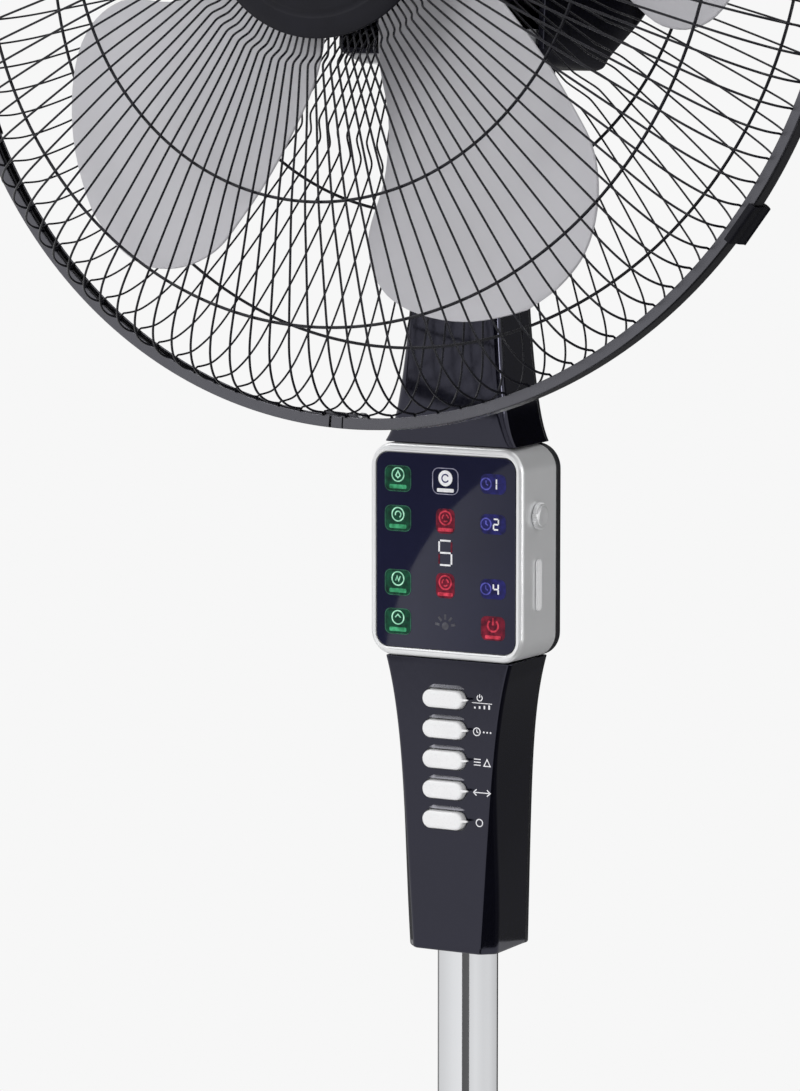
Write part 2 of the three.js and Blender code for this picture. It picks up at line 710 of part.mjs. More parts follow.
function addDisplay(column) {
  const body = roundedSlab(boxWidth, boxHeight, boxCorner, boxFront, boxSeam);
  const lensPocket = roundedSlab(
    lensWidth + 2 * fit, lensHeight + 2 * fit, lensCorner, boxFront - 1, lensBack + fit);
  const window = roundedSlab(
    lensWidth - 2 * lensLedge, lensHeight - 2 * lensLedge, lensCorner, boxFront, boxSeam);
  const cavityFront = lensBack + fit + lensLedgeThickness;
  const cavity = roundedSlab(
    boxWidth - 2 * boxWall, boxHeight - 2 * boxWall, boxCorner - boxWall, cavityFront, boxSeam + 1);
  const post = block(
    -coreWidth / 2 - fit, coreWidth / 2 + fit, coreFront - fit, boxSeam + 1, -boxHeight, boxHeight);
  const bezel = cut(body, lensPocket, window, cavity, post);
  add(column, 'display_bezel', bezel, finishes.silver).position.z = boxCentre;

  const lens = roundedSlab(lensWidth, lensHeight, lensCorner, boxFront + 0.2, lensBack);
  add(column, 'display_lens', lens, finishes.glass).position.z = boxCentre;

  const boardWidth = boxWidth - 2 * boxWall - 2 * fit;
  const boardHeight = boxHeight - 2 * boxWall - 2 * fit;
  const board = roundedSlab(
    boardWidth, boardHeight, boxCorner - boxWall, displayBoardFront, displayBoardFront + boardThickness);
  const lamp = (x, z, halfWidth, halfHeight, height) => block(
    x - halfWidth, x + halfWidth, displayBoardFront - height, displayBoardFront + 0.4,
    z - halfHeight, z + halfHeight);
  const half = ledSize / 2;
  const lamps = ledRows.flatMap((z) => ledColumns.map((x) => lamp(x, z, half, half, ledHeight)));
  const digit = lamp(0, 0, digitWidth / 2, digitHeight / 2, digitDepth);
  add(column, 'display_board', join(board, ...lamps, digit), finishes.board).position.z = boxCentre;

  const strip = roundedSlab(boxWidth, boxHeight, boxCorner, boxSeam + fit, boxSeam + boxBackStrip);
  const domed = (inset, y0, y1) => (
    roundedSlab(boxWidth - 2 * inset, boxHeight - 2 * inset, boxCorner - 0.6 * inset, y0, y1));
  const dome = domed(boxDomeInset, boxSeam + 1, boxBack);
  const hollow = domed(boxDomeInset + boxWall, boxSeam, boxBack - boxBackWall);
  add(column, 'display_back', cut(join(strip, dome), hollow), finishes.satin).position.z = boxCentre;

  const side = boxWidth / 2;
  const crownEnd = side + crownLength;
  const crown = join(
    rodX(crownRadius, side + fit, crownEnd, 20),
    rodX(crownRadius - crownFaceInset, crownEnd - 1, crownEnd + crownFaceLength, 20));
  const crownAt = boxFront + crownBehind;
  add(column, 'crown_trim', crown, finishes.silver).position.set(0, crownAt, boxCentre + crownAbove);

  const sideBar = roundedRectangle(sideBarWidth, sideBarLength, sideBarWidth / 2 - 0.01);
  const settings = { depth: sideBarHeight, bevelEnabled: false, curveSegments: 5 };
  const bead = new THREE.ExtrudeGeometry(sideBar, settings).rotateX(Math.PI / 2).rotateZ(Math.PI / 2);
  add(column, 'side_trim', bead, finishes.silver).position.set(side + fit, crownAt, boxCentre - sideBarBelow);
}

function addNeck(column) {
  const stations = spread(neckBottom, neckTop, 6, 0.7);
  const through = [neckBottom - 1, ...stations.slice(1, -1), neckTop + 1];
  const outside = columnBody(neckSection, stations, 0);
  const shell = cut(outside, columnBody(neckSection, through, columnWall));
  add(column, 'neck_front', overlap(shell, slice(-beyond, columnSeam)), finishes.gloss);
  add(column, 'neck_back', overlap(outside, slice(columnSeam + fit, beyond)), finishes.satin);
}

// The structural core: a socket on the pole, a post up through the display box, and the tilt joint's ears.
function addCore(column) {
  const bore = innerTubeRadius + fit;
  const socket = turned(pipe(bore, coreSocketRadius, coreSocketBottom, coreSocketTop));
  const roof = rodZ(coreSocketRadius, innerTubeTop + fit, coreSocketTop, 20);
  const half = coreWidth / 2;
  const post = block(-half, half, coreFront, coreBack, innerTubeTop + 1, neckTop - postBelowTop);
  const earInside = tongueWidth / 2 + fit;
  const earOutside = earInside + earThickness;
  const shoulder = block(
    -earOutside, earOutside, -earRadius + 1, earRadius, neckTop - shoulderDepth, pivotHeight - earRadius - 3);
  const ears = [-1, 1].flatMap((side) => {
    const from = side < 0 ? -earOutside : earInside;
    const to = side < 0 ? -earInside : earOutside;
    return [
      rodX(earRadius, from, to, 32).translate(0, 0, pivotHeight),
      block(from, to, -earRadius + 1, earRadius, neckTop - 12, pivotHeight)];
  });
  const boardBack = buttonBoardFront + boardThickness + fit;
  const lastButton = buttonTop - (buttonCount - 1) * buttonPitch;
  const ribs = [buttonTop, lastButton].map((z) => (
    block(-ribWidth / 2, ribWidth / 2, boardBack, coreFront + 1, z - ribHeight / 2, z + ribHeight / 2)));
  const hole = rodX(tiltScrewRadius + fit, -beyond, beyond, 16).translate(0, 0, pivotHeight);
  add(column, 'column_core', cut(join(socket, roof, post, shoulder, ...ears, ...ribs), hole), finishes.satin);
}

function addColumn() {
  const column = new THREE.Group();
  fan.add(column);
  const bore = innerTubeRadius - innerTubeWall;
  const tube = turned(pipe(bore, innerTubeRadius, innerTubeBottom, innerTubeTop));
  add(column, 'inner_tube', tube, finishes.chrome);
  const guideBottom = innerTubeBottom - guideFloor;
  const guideRadius = outerTubeRadius - outerTubeWall - fit;
  const guide = turned([
    [bore - 1, guideBottom], [guideRadius, guideBottom], [guideRadius, guideBottom + guideHeight],
    [innerTubeRadius + fit, guideBottom + guideHeight], [innerTubeRadius + fit, innerTubeBottom - fit],
    [bore - 1, innerTubeBottom - fit], [bore - 1, guideBottom]]);
  add(column, 'pole_guide', guide, finishes.white);
  addLowerHousing(column);
  addButtons(column);
  addDisplay(column);
  addNeck(column);
  addCore(column);
  addTiltScrew(column);
}

// ---------------------------------------------------------------- tilt joint
function addTiltScrew(column) {
  const earOutside = tongueWidth / 2 + fit + earThickness;
  const nutFace = -earOutside - fit;
  const knobFace = earOutside + tiltKnobGap;
  const screwEnd = knobFace + tiltKnobLength - tiltKnobCap;
  const screwStart = nutFace - tiltNutLength - 1;
  const shoulder = tiltScrewRadius + tiltScrewShoulder;
  const screw = turned([
    [0, screwStart], [tiltScrewRadius, screwStart], [tiltScrewRadius, earOutside + fit],
    [shoulder, earOutside + fit], [shoulder, knobFace - fit], [tiltScrewRadius, knobFace - fit],
    [tiltScrewRadius, screwEnd], [0, screwEnd]], 16).rotateY(Math.PI / 2);
  add(column, 'tilt_screw', screw, finishes.steel).position.z = pivotHeight;

  const nut = new THREE.CylinderGeometry(tiltNutRadius, tiltNutRadius, tiltNutLength, 6).rotateZ(Math.PI / 2)
    .translate(nutFace - tiltNutLength / 2, 0, 0);
  const nutHole = rodX(tiltScrewRadius + fit, -beyond, 0, 16);
  add(column, 'tilt_nut', cut(nut, nutHole), finishes.steel).position.z = pivotHeight;

  const grip = lobedKnob(tiltKnobRadius, tiltKnobLength).rotateY(Math.PI / 2).translate(knobFace, 0, 0);
  const socket = rodX(tiltScrewRadius + fit, 0, screwEnd + fit, 16);
  add(column, 'tilt_knob', cut(grip, socket), finishes.satin).position.z = pivotHeight;
}

// ---------------------------------------------------------------- yoke and swing drive
function toothedOutline(teeth, pitchRadius, first, last, phase) {
  const root = pitchRadius - toothDedendum;
  const tip = pitchRadius + toothAddendum;
  const points = [];
  const put = (r, angle) => points.push(point(r * Math.cos(angle), r * Math.sin(angle)));
  for (let i = first; i <= last; i += 1) {
    const middle = phase + i / teeth * Math.PI * 2;
    const footHalf = toothThickness * 1.35 / 2 / root;
    const tipHalf = toothTip / 2 / tip;
    put(root, middle - footHalf);
    put(tip, middle - tipHalf);
    put(tip, middle + tipHalf);
    put(root, middle + footHalf);
  }
  return points;
}

function addYoke(tilting) {
  const half = tongueWidth / 2;
  const tongue = join(
    rodX(earRadius, -half, half, 32), block(-half, half, -earRadius, earRadius, 0, swingPostBottom));
  const boss = rodZ(yokeBossRadius, swingPostBottom - 4, yokeFlangeTop, 20);
  const flange = rodZ(yokeFlangeRadius, yokeFlangeBottom, yokeFlangeTop, 24);
  const collar = rodZ(yokeCollarRadius, yokeFlangeTop - 1, yokeCollarTop, 20);
  const bore = rodZ(bushRadius + fit, swingPostBottom - fit, yokeCollarTop + 1, 20);
  const cross = rodX(tiltScrewRadius + fit, -half - 1, half + 1, 16);
  add(tilting, 'tilt_yoke', cut(join(tongue, boss, flange, collar), bore, cross), finishes.satin);

  const bush = turned(pipe(swingPostRadius + fit, bushRadius, swingPostBottom, yokeCollarTop));
  add(tilting, 'swing_bush', bush, finishes.brass);

  const halfTooth = Math.PI / sectorTeeth;
  const span = toothedOutline(
    sectorTeeth, sectorPitchRadius, -sectorToothSpan, sectorToothSpan - 1, halfTooth);
  const hub = yokeCollarRadius + fit;
  const rim = hub + 5;
  const toothed = sectorToothSpan * 2 * halfTooth + radians(8);
  const back = spread(toothed, Math.PI * 2 - toothed, 12)
    .map((angle) => point(rim * Math.cos(angle), rim * Math.sin(angle)));
  const outline = new THREE.Shape([...span, ...back]);
  const eye = new THREE.Path();
  eye.absarc(0, 0, hub, 0, Math.PI * 2);
  outline.holes.push(eye);
  const settings = { depth: sectorThickness, bevelEnabled: false, curveSegments: 20 };
  const sector = new THREE.ExtrudeGeometry(outline, settings).translate(0, 0, sectorBottom);
  add(tilting, 'swing_sector', sector, finishes.white);
}

function addSwingDrive(swinging) {
  const teeth = toothedOutline(pinionTeeth, pinionPitchRadius, 0, pinionTeeth - 1, Math.PI);
  const settings = { depth: sectorThickness, bevelEnabled: false };
  const gear = new THREE.ExtrudeGeometry(new THREE.Shape(teeth), settings).translate(0, 0, sectorBottom);
  const shaft = rodZ(pinionShaftRadius, sectorBottom, headFloor + swingMotorHeight / 2, 16);
  add(swinging, 'swing_pinion', join(gear, shaft), finishes.white).position.x = pinionBeside;

  const motor = rodZ(swingMotorRadius, headFloor, headFloor + swingMotorHeight, 32);
  const socket = rodZ(pinionShaftRadius + fit, headFloor - 1, headFloor + swingMotorHeight / 2 + fit, 24);
  add(swinging, 'swing_motor', cut(motor, socket), finishes.steel).position.x = pinionBeside;

  const saddle = axisAbovePivot - motorRadius - fit;
  const motorSide = pinionBeside - swingMotorRadius - 1;
  const body = block(-pivotBlockWidth, motorSide, -pivotBlockDepth, pivotBlockDepth, headFloor, saddle);
  const post = rodZ(swingPostRadius, swingPostBottom + fit, headFloor + 2, 24);
  add(swinging, 'pivot_block', join(body, post), finishes.iron);
}

// ---------------------------------------------------------------- motor
function addMotor(axis) {
  const bore = bearingRadius + fit;
  const inner = motorRadius - motorWall;
  const shaftHole = shaftRadius + 1.5;
  const front = spun([
    [bore, noseFront], [noseRadius, noseFront], [noseRadius, motorFront], [motorRadius, motorFront],
    [motorRadius, motorSplit], [inner, motorSplit], [inner, motorFront + motorWall],
    [shaftHole, motorFront + motorWall], [shaftHole, noseFront + bearingLength + 2 * fit],
    [bore, noseFront + bearingLength + 2 * fit], [bore, noseFront]]);
  add(axis, 'motor_front_shield', front, finishes.steel);

  const pocket = motorBack - motorWall;
  const rear = spun([
    [shaftHole, pocket - bearingLength - fit], [bore + 3, pocket - bearingLength - fit], [bore + 3, pocket],
    [inner, pocket], [inner, motorSplit + fit], [motorRadius, motorSplit + fit], [motorRadius, motorBack],
    [screwBossRadius, motorBack], [screwBossRadius, motorBack + screwBossLength],
    [coverScrewRadius + fit, motorBack + screwBossLength],
    [coverScrewRadius + fit, motorBack], [0, motorBack], [0, pocket + fit], [bore, pocket + fit],
    [bore, pocket - bearingLength + 1], [shaftHole, pocket - bearingLength + 1],
    [shaftHole, pocket - bearingLength - fit]]);
  add(axis, 'motor_rear_shield', rear, finishes.steel);

  const bearing = (at, length) => spun(pipe(shaftRadius + fit, bearingRadius, at, at + length));
  add(axis, 'bearing_front', bearing(noseFront + fit, bearingLength), finishes.brass);
  const rearBearing = bearing(pocket - bearingLength + 1 + fit, bearingLength - 1 - 2 * fit);
  add(axis, 'bearing_rear', rearBearing, finishes.brass);

  const core = spun(pipe(statorBore, inner - fit, statorFront, statorBack));
  const slotAngles = Array.from({ length: statorSlots }, (_, i) => i / statorSlots * Math.PI * 2);
  const leg = (margin, y0, y1) => slotAngles.map((angle) => (
    block(windingInner - margin, windingOuter + margin, y0, y1, -3 - margin, 3 + margin).rotateY(angle)));
  add(axis, 'stator_core', cut(core, ...leg(fit, statorFront - 1, statorBack + 1)), finishes.iron);
  const coil = (at) => spun(pipe(windingInner, windingOuter, at, at + windingReach), 18);
  const winding = join(coil(statorFront - windingReach - fit), coil(statorBack + fit),
    ...leg(-0.01, statorFront - windingReach, statorBack + windingReach));
  add(axis, 'stator_winding', winding, finishes.copper);

  const capacitorFront = motorBack + fit;
  const capacitor = roundedSlab(
    capacitorWidth, capacitorHeight, capacitorCorner, capacitorFront, capacitorFront + capacitorDepth);
  add(axis, 'capacitor', capacitor, finishes.white).position.z = capacitorRise;
}

function addRotor(axis) {
  const shaft = spun(bar(shaftRadius, shaftFront, shaftBack - fit), 24);
  const pinHole = rodX(drivePinRadius + fit, -10, 10, 16).translate(0, drivePinAt, 0);
  add(axis, 'motor_shaft', cut(shaft, pinHole), finishes.steel);
  const core = spun(pipe(shaftRadius + fit, rotorRadius, statorFront - 1, statorBack + 1));
  add(axis, 'rotor_core', core, finishes.iron);
  const pin = rodX(drivePinRadius, -drivePinLength / 2, drivePinLength / 2, 16).translate(0, drivePinAt, 0);
  add(axis, 'drive_pin', pin, finishes.steel);

  const hub = spun([
    [shaftRadius + fit, hubFront], [hubRadius - hubBevel, hubFront], [hubRadius, hubFront + hubBevel],
    [hubRadius, hubBack], [hubBossRadius, hubBack], [hubBossRadius, hubBossBack],
    [shaftRadius + fit, hubBossBack], [shaftRadius + fit, hubFront]]);
  const slotHalf = drivePinRadius + fit;
  const slotReach = drivePinLength / 2 + fit;
  const slot = block(-slotReach, slotReach, drivePinAt - slotHalf, hubBossBack + 1, -slotHalf, slotHalf);
  const blades = Array.from({ length: bladeCount }, (_, i) => (
    bladeGeometry().rotateY(-radians(bladeFirstAngle + i * 360 / bladeCount))));
  add(axis, 'blade_rotor', cut(join(hub, ...blades), slot), finishes.blade);

  const spinner = spun([
    [0, spinnerFront], [spinnerRadius - spinnerSlope, spinnerFront], [spinnerRadius, spinnerFront + 4],
    [spinnerRadius, hubFront - fit], [shaftRadius + fit, hubFront - fit],
    [shaftRadius + fit, shaftFront - fit],
    [0, shaftFront - fit], [0, spinnerFront]]);
  add(axis, 'blade_nut', spinner, finishes.satin);
}

// One leaf-shaped blade along +X, with its pitch: the edges are smooth curves of [radius, degrees].
function bladeGeometry() {
  const edge = (rows) => new THREE.SplineCurve(rows.map(([r, degrees]) => point(r, radians(degrees))));
  const leading = edge(bladeLeading);
  const trailing = edge(bladeTrailing);
  const geometry = new THREE.BoxGeometry(1, 1, 1, 9, 1, 3);
  const place = geometry.getAttribute('position');
  for (let i = 0; i < place.count; i += 1) {
    const along = place.getX(i) + 0.5;
    const [r, angle] = leading.getPoint(along).lerp(trailing.getPoint(along), place.getZ(i) + 0.5).toArray();
    const travel = bladePitch * angle * (1 + bladePitchGrowth * (r - bladePitchRadius) / 100);
    const y = bladePlane - travel + place.getY(i) * bladeThickness;
    place.setXYZ(i, r * Math.cos(angle), y, r * Math.sin(angle));
  }
  return geometry;
}

// The shell behind the motor: straight sides and a flat floor, an arched top, and a tail that slopes in.
function motorCoverSection(y, inset) {
  const t = Math.max(0, (y - motorCoverShoulder) / (motorCoverBack - motorCoverShoulder));
  const lift = Math.max(0, motorCoverFrontLift * (1 - (y - motorCoverFront) / motorCoverFloorRun));
  const width = motorCoverWidth * Math.sqrt(1 - 0.5 * t ** 2) - inset;
  const drop = motorCoverDrop * (1 - 0.56 * t ** 0.75) - lift - inset;
  const rise = motorCoverRise * (1 - 0.7 * t ** 2.2) - inset;
  const r = Math.max(motorCoverCorner - inset, 1);
  const loop = [
    point(-width + r, -drop), point(width - r, -drop), point(width, -drop + r), point(width, rise * 0.15)];
  const steps = 8;
  for (let i = 1; i < steps; i += 1) {
    const angle = i / steps * Math.PI;
    loop.push(point(width * Math.cos(angle), rise * (0.15 + 0.85 * Math.sin(angle))));
  }
  loop.push(point(-width, rise * 0.15), point(-width, -drop + r));
  return loop.map((p) => new THREE.Vector3(p.x, y, p.y));
}

function addMotorCover(axis) {
  const tail = spread(motorCoverShoulder, motorCoverBack - motorCoverEnd / 2, 5, 1.2);
  const middle = [motorCoverFront + motorCoverFloorRun, ...tail];
  const endInset = (y) => (y < tail.at(-1) ? 0 : motorCoverEnd * (y > tail.at(-1) ? 1 : 0.35));
  const outside = loft(
    (y) => motorCoverSection(y, endInset(y)), [motorCoverFront, ...middle, motorCoverBack]);
  const inside = loft(
    (y) => motorCoverSection(y, motorCoverWall + endInset(y)),
    [motorCoverFront - 1, ...middle.slice(0, -1), motorCoverBack - motorCoverWall]);
  const skirtLow = yokeFlangeBottom - axisAbovePivot;
  const upright = (geometry, beside = 0) => geometry.translate(beside, rimAheadOfPivot, 0);
  const skirtTop = -motorCoverDrop + 8;
  const oval = (inset, low, high) => (
    rodZ(1, low, high, 24).scale(skirtWidth - inset, skirtDepth - inset, 1));
  const skirt = upright(cut(oval(0, skirtLow, skirtTop), oval(skirtWall, skirtLow - 1, skirtTop + 1)));
  const postHole = upright(rodZ(swingPostRadius + 1, -axisAbovePivot, 0, 16));
  const shaftHole = upright(rodZ(pinionShaftRadius + 1, -axisAbovePivot, 0, 12), pinionBeside);
  const screwHole = rodY(coverScrewRadius + fit, motorBack, motorCoverBack + 10, 20);
  const shell = cut(join(outside, skirt), inside, postHole, shaftHole, screwHole);
  add(axis, 'motor_cover', shell, finishes.gloss);

  const screw = join(
    rodY(coverScrewRadius, motorBack + fit, motorCoverBack + 1, 16),
    rodY(coverScrewRadius + 2.5, motorCoverBack + fit, motorCoverBack + 2.6, 16));
  add(axis, 'cover_screw', screw, finishes.steel);
}

// ---------------------------------------------------------------- guards
const polar = (r, y, degrees) => (
  new THREE.Vector3(r * Math.cos(radians(degrees)), y, r * Math.sin(radians(degrees))));

function ringWireAt(r, y) {
  const w = ringWire;
  const section = [[r - w, y], [r + w * 0.6, y - w], [r + w * 0.6, y + w], [r - w, y]];
  return spun(section, spokeCount * 2).rotateY(Math.PI / spokeCount);
}

// Wires from the outer ring to the plate, with support rings: line and rings are points in from the rim.
function guard(line, rings, outerAt, plate) {
  const inward = (points) => points.map(([inset, y]) => [rimRadius - inset, y]);
  const fromRim = (points) => [[rimRingRadius, outerAt], ...inward(points)];
  const spokes = Array.from({ length: spokeCount }, (_, i) => {
    const angle = (i + 0.5) * 360 / spokeCount;
    const path = fromRim(line).map(([r, y]) => polar(r, y, angle));
    path.push(polar(plate.radius - 2, plate.at + plate.thickness / 2, angle));
    return wireAlong(path, spokeWire);
  });
  const hoops = fromRim(rings).map(([r, y]) => ringWireAt(r, y));
  const back = plate.at + plate.thickness;
  const ring = pipe(plate.bore, plate.radius, plate.at, back);
  const disc = bar(plate.radius, plate.at, back);
  return join(spun(plate.bore > 0 ? ring : disc, spokeCount), ...hoops, ...spokes);
}

function addGuards(axis) {
  const frontPlate = { radius: frontPlateRadius, at: frontPlateAt, thickness: frontPlateThickness, bore: 0 };
  add(axis, 'front_guard', guard(frontSpokeLine, frontSupportRings, frontRingAt, frontPlate), finishes.wire);
  const bore = noseRadius + 3 * fit;
  const rearPlate = { radius: rearPlateRadius, at: rearPlateAt, thickness: rearPlateThickness, bore };
  const rear = guard(rearSpokeLine, rearSupportRings, rearRingAt, rearPlate);
  add(axis, 'rear_guard', rear, finishes.wire);

  const nutBack = rearPlateAt - fit;
  const nut = spun([
    [noseRadius + fit, nutBack - guardNutLength], [guardNutRadius - 4, nutBack - guardNutLength],
    [guardNutRadius, nutBack - guardNutLength + 3], [guardNutRadius, nutBack], [noseRadius + fit, nutBack],
    [noseRadius + fit, nutBack - guardNutLength]], 12);
  add(axis, 'guard_nut', cut(nut, rodY(noseRadius + fit, noseFront - 20, nutBack + 5, 24)), finishes.satin);

  const badgeBack = frontPlateAt - fit;
  const badgeFace = badgeBack - badgeThickness;
  const badge = spun([
    [0, badgeFace - badgeCrown], [badgeRadius * 0.5, badgeFace - badgeCrown * 0.75],
    [badgeRadius * 0.9, badgeFace], [badgeRadius, badgeFace + 1.5], [badgeRadius, badgeBack - badgeStep],
    [badgeRadius - 4, badgeBack - badgeStep], [badgeRadius - 4, badgeBack], [0, badgeBack]], 28);
  add(axis, 'guard_badge', badge, finishes.satin);
}

// The clamp band that holds both guards, split at the bottom between two lugs that a screw draws together.
function addRim(axis) {
  const outer = rimRadius;
  const wall = rimRadius - rimWall;
  const lip = rimRadius - rimFlange;
  const band = spun([
    [lip, 0], [outer, 0], [outer, rimDepth], [lip, rimDepth], [lip, rimDepth - 1.2], [wall, rimDepth - 1.2],
    [wall, 1.2], [lip, 1.2], [lip, 0]], 48);
  const atSplit = (geometry) => geometry.rotateY(-radians(rimSplitAngle));
  const lug = (side) => {
    const near = rimSplitWidth / 2;
    const z0 = side < 0 ? -near - rimLugLength : near;
    return atSplit(block(
      outer - rimLugHeight, outer - 0.4, rimDepth - 1, rimDepth + rimLugWidth, z0, z0 + rimLugLength));
  };
  const gap = atSplit(block(lip - 10, outer + 10, -10, 30, -rimSplitWidth / 2, rimSplitWidth / 2));
  const screwAt = [outer - rimLugHeight / 2, rimDepth + rimLugWidth / 2, 0];
  const screwLength = rimLugLength + rimSplitWidth / 2;
  const screwLine = (radius, margin) => atSplit(
    rodZ(radius, -screwLength - margin, screwLength + margin, 12).translate(...screwAt));
  const pins = clipAngles.map((angle) => {
    const half = clipLength / 2;
    const pinAt = outer - clipPinBelow;
    const pin = rodZ(clipPinRadius, -half, half, 8).translate(pinAt, rimDepth + clipPinBehind, 0);
    const web = block(pinAt - 0.9, pinAt + 0.6, rimDepth - 0.6, rimDepth + clipPinBehind, -half, half);
    return join(pin, web).rotateY(-radians(angle));
  });
  const rim = cut(join(band, lug(-1), lug(1), ...pins), gap, screwLine(rimScrewRadius + fit, 5));
  add(axis, 'guard_rim', rim, finishes.band);

  const headRod = rodZ(rimScrewRadius + 1.5, screwLength + fit, screwLength + 2.4, 12);
  const head = atSplit(headRod.translate(...screwAt));
  add(axis, 'rim_screw', join(screwLine(rimScrewRadius, 1.5), head), finishes.steel);
}

// A clip that snaps over the rim: an eye round the rim's hinge pin, a back and a front hook.
function addClips(axis) {
  const eyeInner = clipPinRadius + fit;
  const eyeOuter = eyeInner + clipEyeWall;
  const backLow = clipPinBelow + fit;
  const backHigh = backLow + clipThickness;
  const front = -(rimDepth + clipPinBehind) - fit;
  const eye = new THREE.Shape();
  eye.absarc(0, 0, eyeOuter, radians(-35), radians(180));
  eye.absarc(0, 0, eyeInner, radians(180), radians(-35), true);
  const hook = new THREE.Shape([
    point(-rimFlange + clipPinBelow, front - clipThickness), point(backHigh, front - clipThickness),
    point(backHigh, front), point(-rimFlange + clipPinBelow + 1, front)]);
  const settings = { depth: clipLength, bevelEnabled: false, curveSegments: 6 };
  const solid = (shape) => new THREE.ExtrudeGeometry(shape, settings).translate(0, 0, -clipLength / 2);
  const pad = block(backLow, backHigh, front - clipThickness, 0.5, -clipLength / 2, clipLength / 2);
  const shape = join(cut(join(solid(eye), pad), rodZ(eyeInner, -clipLength, clipLength, 12)), solid(hook));
  clipAngles.forEach((angle, i) => {
    const placed = shape.clone().translate(rimRadius - clipPinBelow, rimDepth + clipPinBehind, 0);
    add(axis, `rim_clip_${i + 1}`, placed.rotateY(-radians(angle)), finishes.satin);
  });
}

// ---------------------------------------------------------------- the whole fan
addBase();
addPole();
addColumn();

const tilting = new THREE.Group();
tilting.position.set(0, 0, pivotHeight);
tilting.rotation.x = -radians(tiltAtRest);
fan.add(tilting);
addYoke(tilting);
addSwingDrive(tilting);

const fanAxis = new THREE.Group();
fanAxis.position.set(0, -rimAheadOfPivot, axisAbovePivot);
tilting.add(fanAxis);
addMotor(fanAxis);
addRotor(fanAxis);
addMotorCover(fanAxis);
addGuards(fanAxis);
addRim(fanAxis);
addClips(fanAxis);

export default fan;
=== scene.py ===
"""Looks of the pedestal fan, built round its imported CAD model.

Shapes are worked out in millimetres and become metres when their mesh is made.
"""
import json
from math import asin, ceil, cos, degrees, pi, radians, sin, sqrt

import bmesh
import bpy
from mathutils import Matrix, Vector


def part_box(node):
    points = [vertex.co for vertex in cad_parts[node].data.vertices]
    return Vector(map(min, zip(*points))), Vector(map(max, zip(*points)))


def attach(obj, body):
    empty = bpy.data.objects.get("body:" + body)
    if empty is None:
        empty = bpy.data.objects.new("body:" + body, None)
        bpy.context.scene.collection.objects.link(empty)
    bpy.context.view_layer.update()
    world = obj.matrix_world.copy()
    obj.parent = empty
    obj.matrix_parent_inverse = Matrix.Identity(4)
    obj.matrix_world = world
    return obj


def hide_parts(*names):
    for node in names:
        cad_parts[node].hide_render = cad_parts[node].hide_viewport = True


MM = 0.001
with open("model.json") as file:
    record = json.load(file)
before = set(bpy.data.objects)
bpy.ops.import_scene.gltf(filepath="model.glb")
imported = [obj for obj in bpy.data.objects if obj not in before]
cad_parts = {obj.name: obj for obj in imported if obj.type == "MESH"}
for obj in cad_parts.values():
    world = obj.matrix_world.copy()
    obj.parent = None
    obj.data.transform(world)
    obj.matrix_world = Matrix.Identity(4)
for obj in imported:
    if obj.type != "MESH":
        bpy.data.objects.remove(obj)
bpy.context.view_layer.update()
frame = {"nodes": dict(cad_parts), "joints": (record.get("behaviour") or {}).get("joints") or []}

# ---------------------------------------------------------------- camera
CAMERA_PLACE = (1.0767, -1.9121, 0.9868)
CAMERA_YAW = 30.176
CAMERA_PITCH = 6.912
LENS_LENGTH = 164.98


def new_object(name, data):
    item = bpy.data.objects.new(name, data)
    bpy.context.scene.collection.objects.link(item)
    return item


def add_camera():
    data = bpy.data.cameras.new("camera")
    data.lens = LENS_LENGTH
    data.sensor_width = 36
    data.clip_end = 100
    camera = new_object("camera", data)
    camera.location = CAMERA_PLACE
    camera.rotation_euler = (radians(90 - CAMERA_PITCH), 0, radians(CAMERA_YAW))
    bpy.context.scene.camera = camera


add_camera()


# ---------------------------------------------------------------- places from the frame
def box(node):
    """Lowest and highest corner of a CAD node, in millimetres."""
    low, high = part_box(node)
    return low / MM, high / MM


def middle(node):
    low, high = box(node)
    return (low + high) / 2


JOINTS = {joint["name"]: joint for joint in frame["joints"]}
BACKWARD = -Vector(JOINTS["blade_spin"]["axis"]).normalized()
UPWARD = Vector(JOINTS["swing"]["axis"]).normalized()


def tilted_frame(joint):
    """The head's own axes (right, backward, up) with the origin at a joint, in millimetres."""
    axes = Matrix((BACKWARD.cross(UPWARD), BACKWARD, UPWARD)).transposed().to_4x4()
    return Matrix.Translation(Vector(JOINTS[joint]["pos_m"]) / MM) @ axes


FAN = tilted_frame("blade_spin")      # origin: the middle of the rim's front face
PIVOT = tilted_frame("swing")         # origin: the tilt pivot


def extent(node, place):
    """Lowest and highest corner of a CAD node in one of the head's frames, in millimetres."""
    back = place.inverted()
    points = [back @ (v.co / MM) for v in frame["nodes"][node].data.vertices]
    return [Vector(pick(p[i] for p in points) for i in range(3)) for pick in (min, max)]


# ---------------------------------------------------------------- shapes
def circle_angles(count):
    return [2 * pi * k / count for k in range(count)]


def arc(radius, start, stop, steps, centre=(0, 0)):
    """Points from one angle in degrees to another."""
    angles = [radians(start + (stop - start) * k / steps) for k in range(steps + 1)]
    return [(centre[0] + radius * cos(t), centre[1] + radius * sin(t)) for t in angles]


def circle(radius, centre, steps=24):
    return arc(radius, 0, 360 - 360 / steps, steps - 1, centre)


def loft(loops, ring=False):
    """Faces between loops of equal length; a ring joins the last loop to the first instead of capping."""
    count = len(loops[0])
    verts = [Vector(p) for loop in loops for p in loop]
    faces = []
    for i in range(len(loops) if ring else len(loops) - 1):
        a = i * count
        b = (i + 1) % len(loops) * count
        faces += [(a + j, a + (j + 1) % count, b + (j + 1) % count, b + j) for j in range(count)]
    if not ring:
        faces += [tuple(range(count)), tuple(range(len(verts) - count, len(verts)))]
    return verts, faces


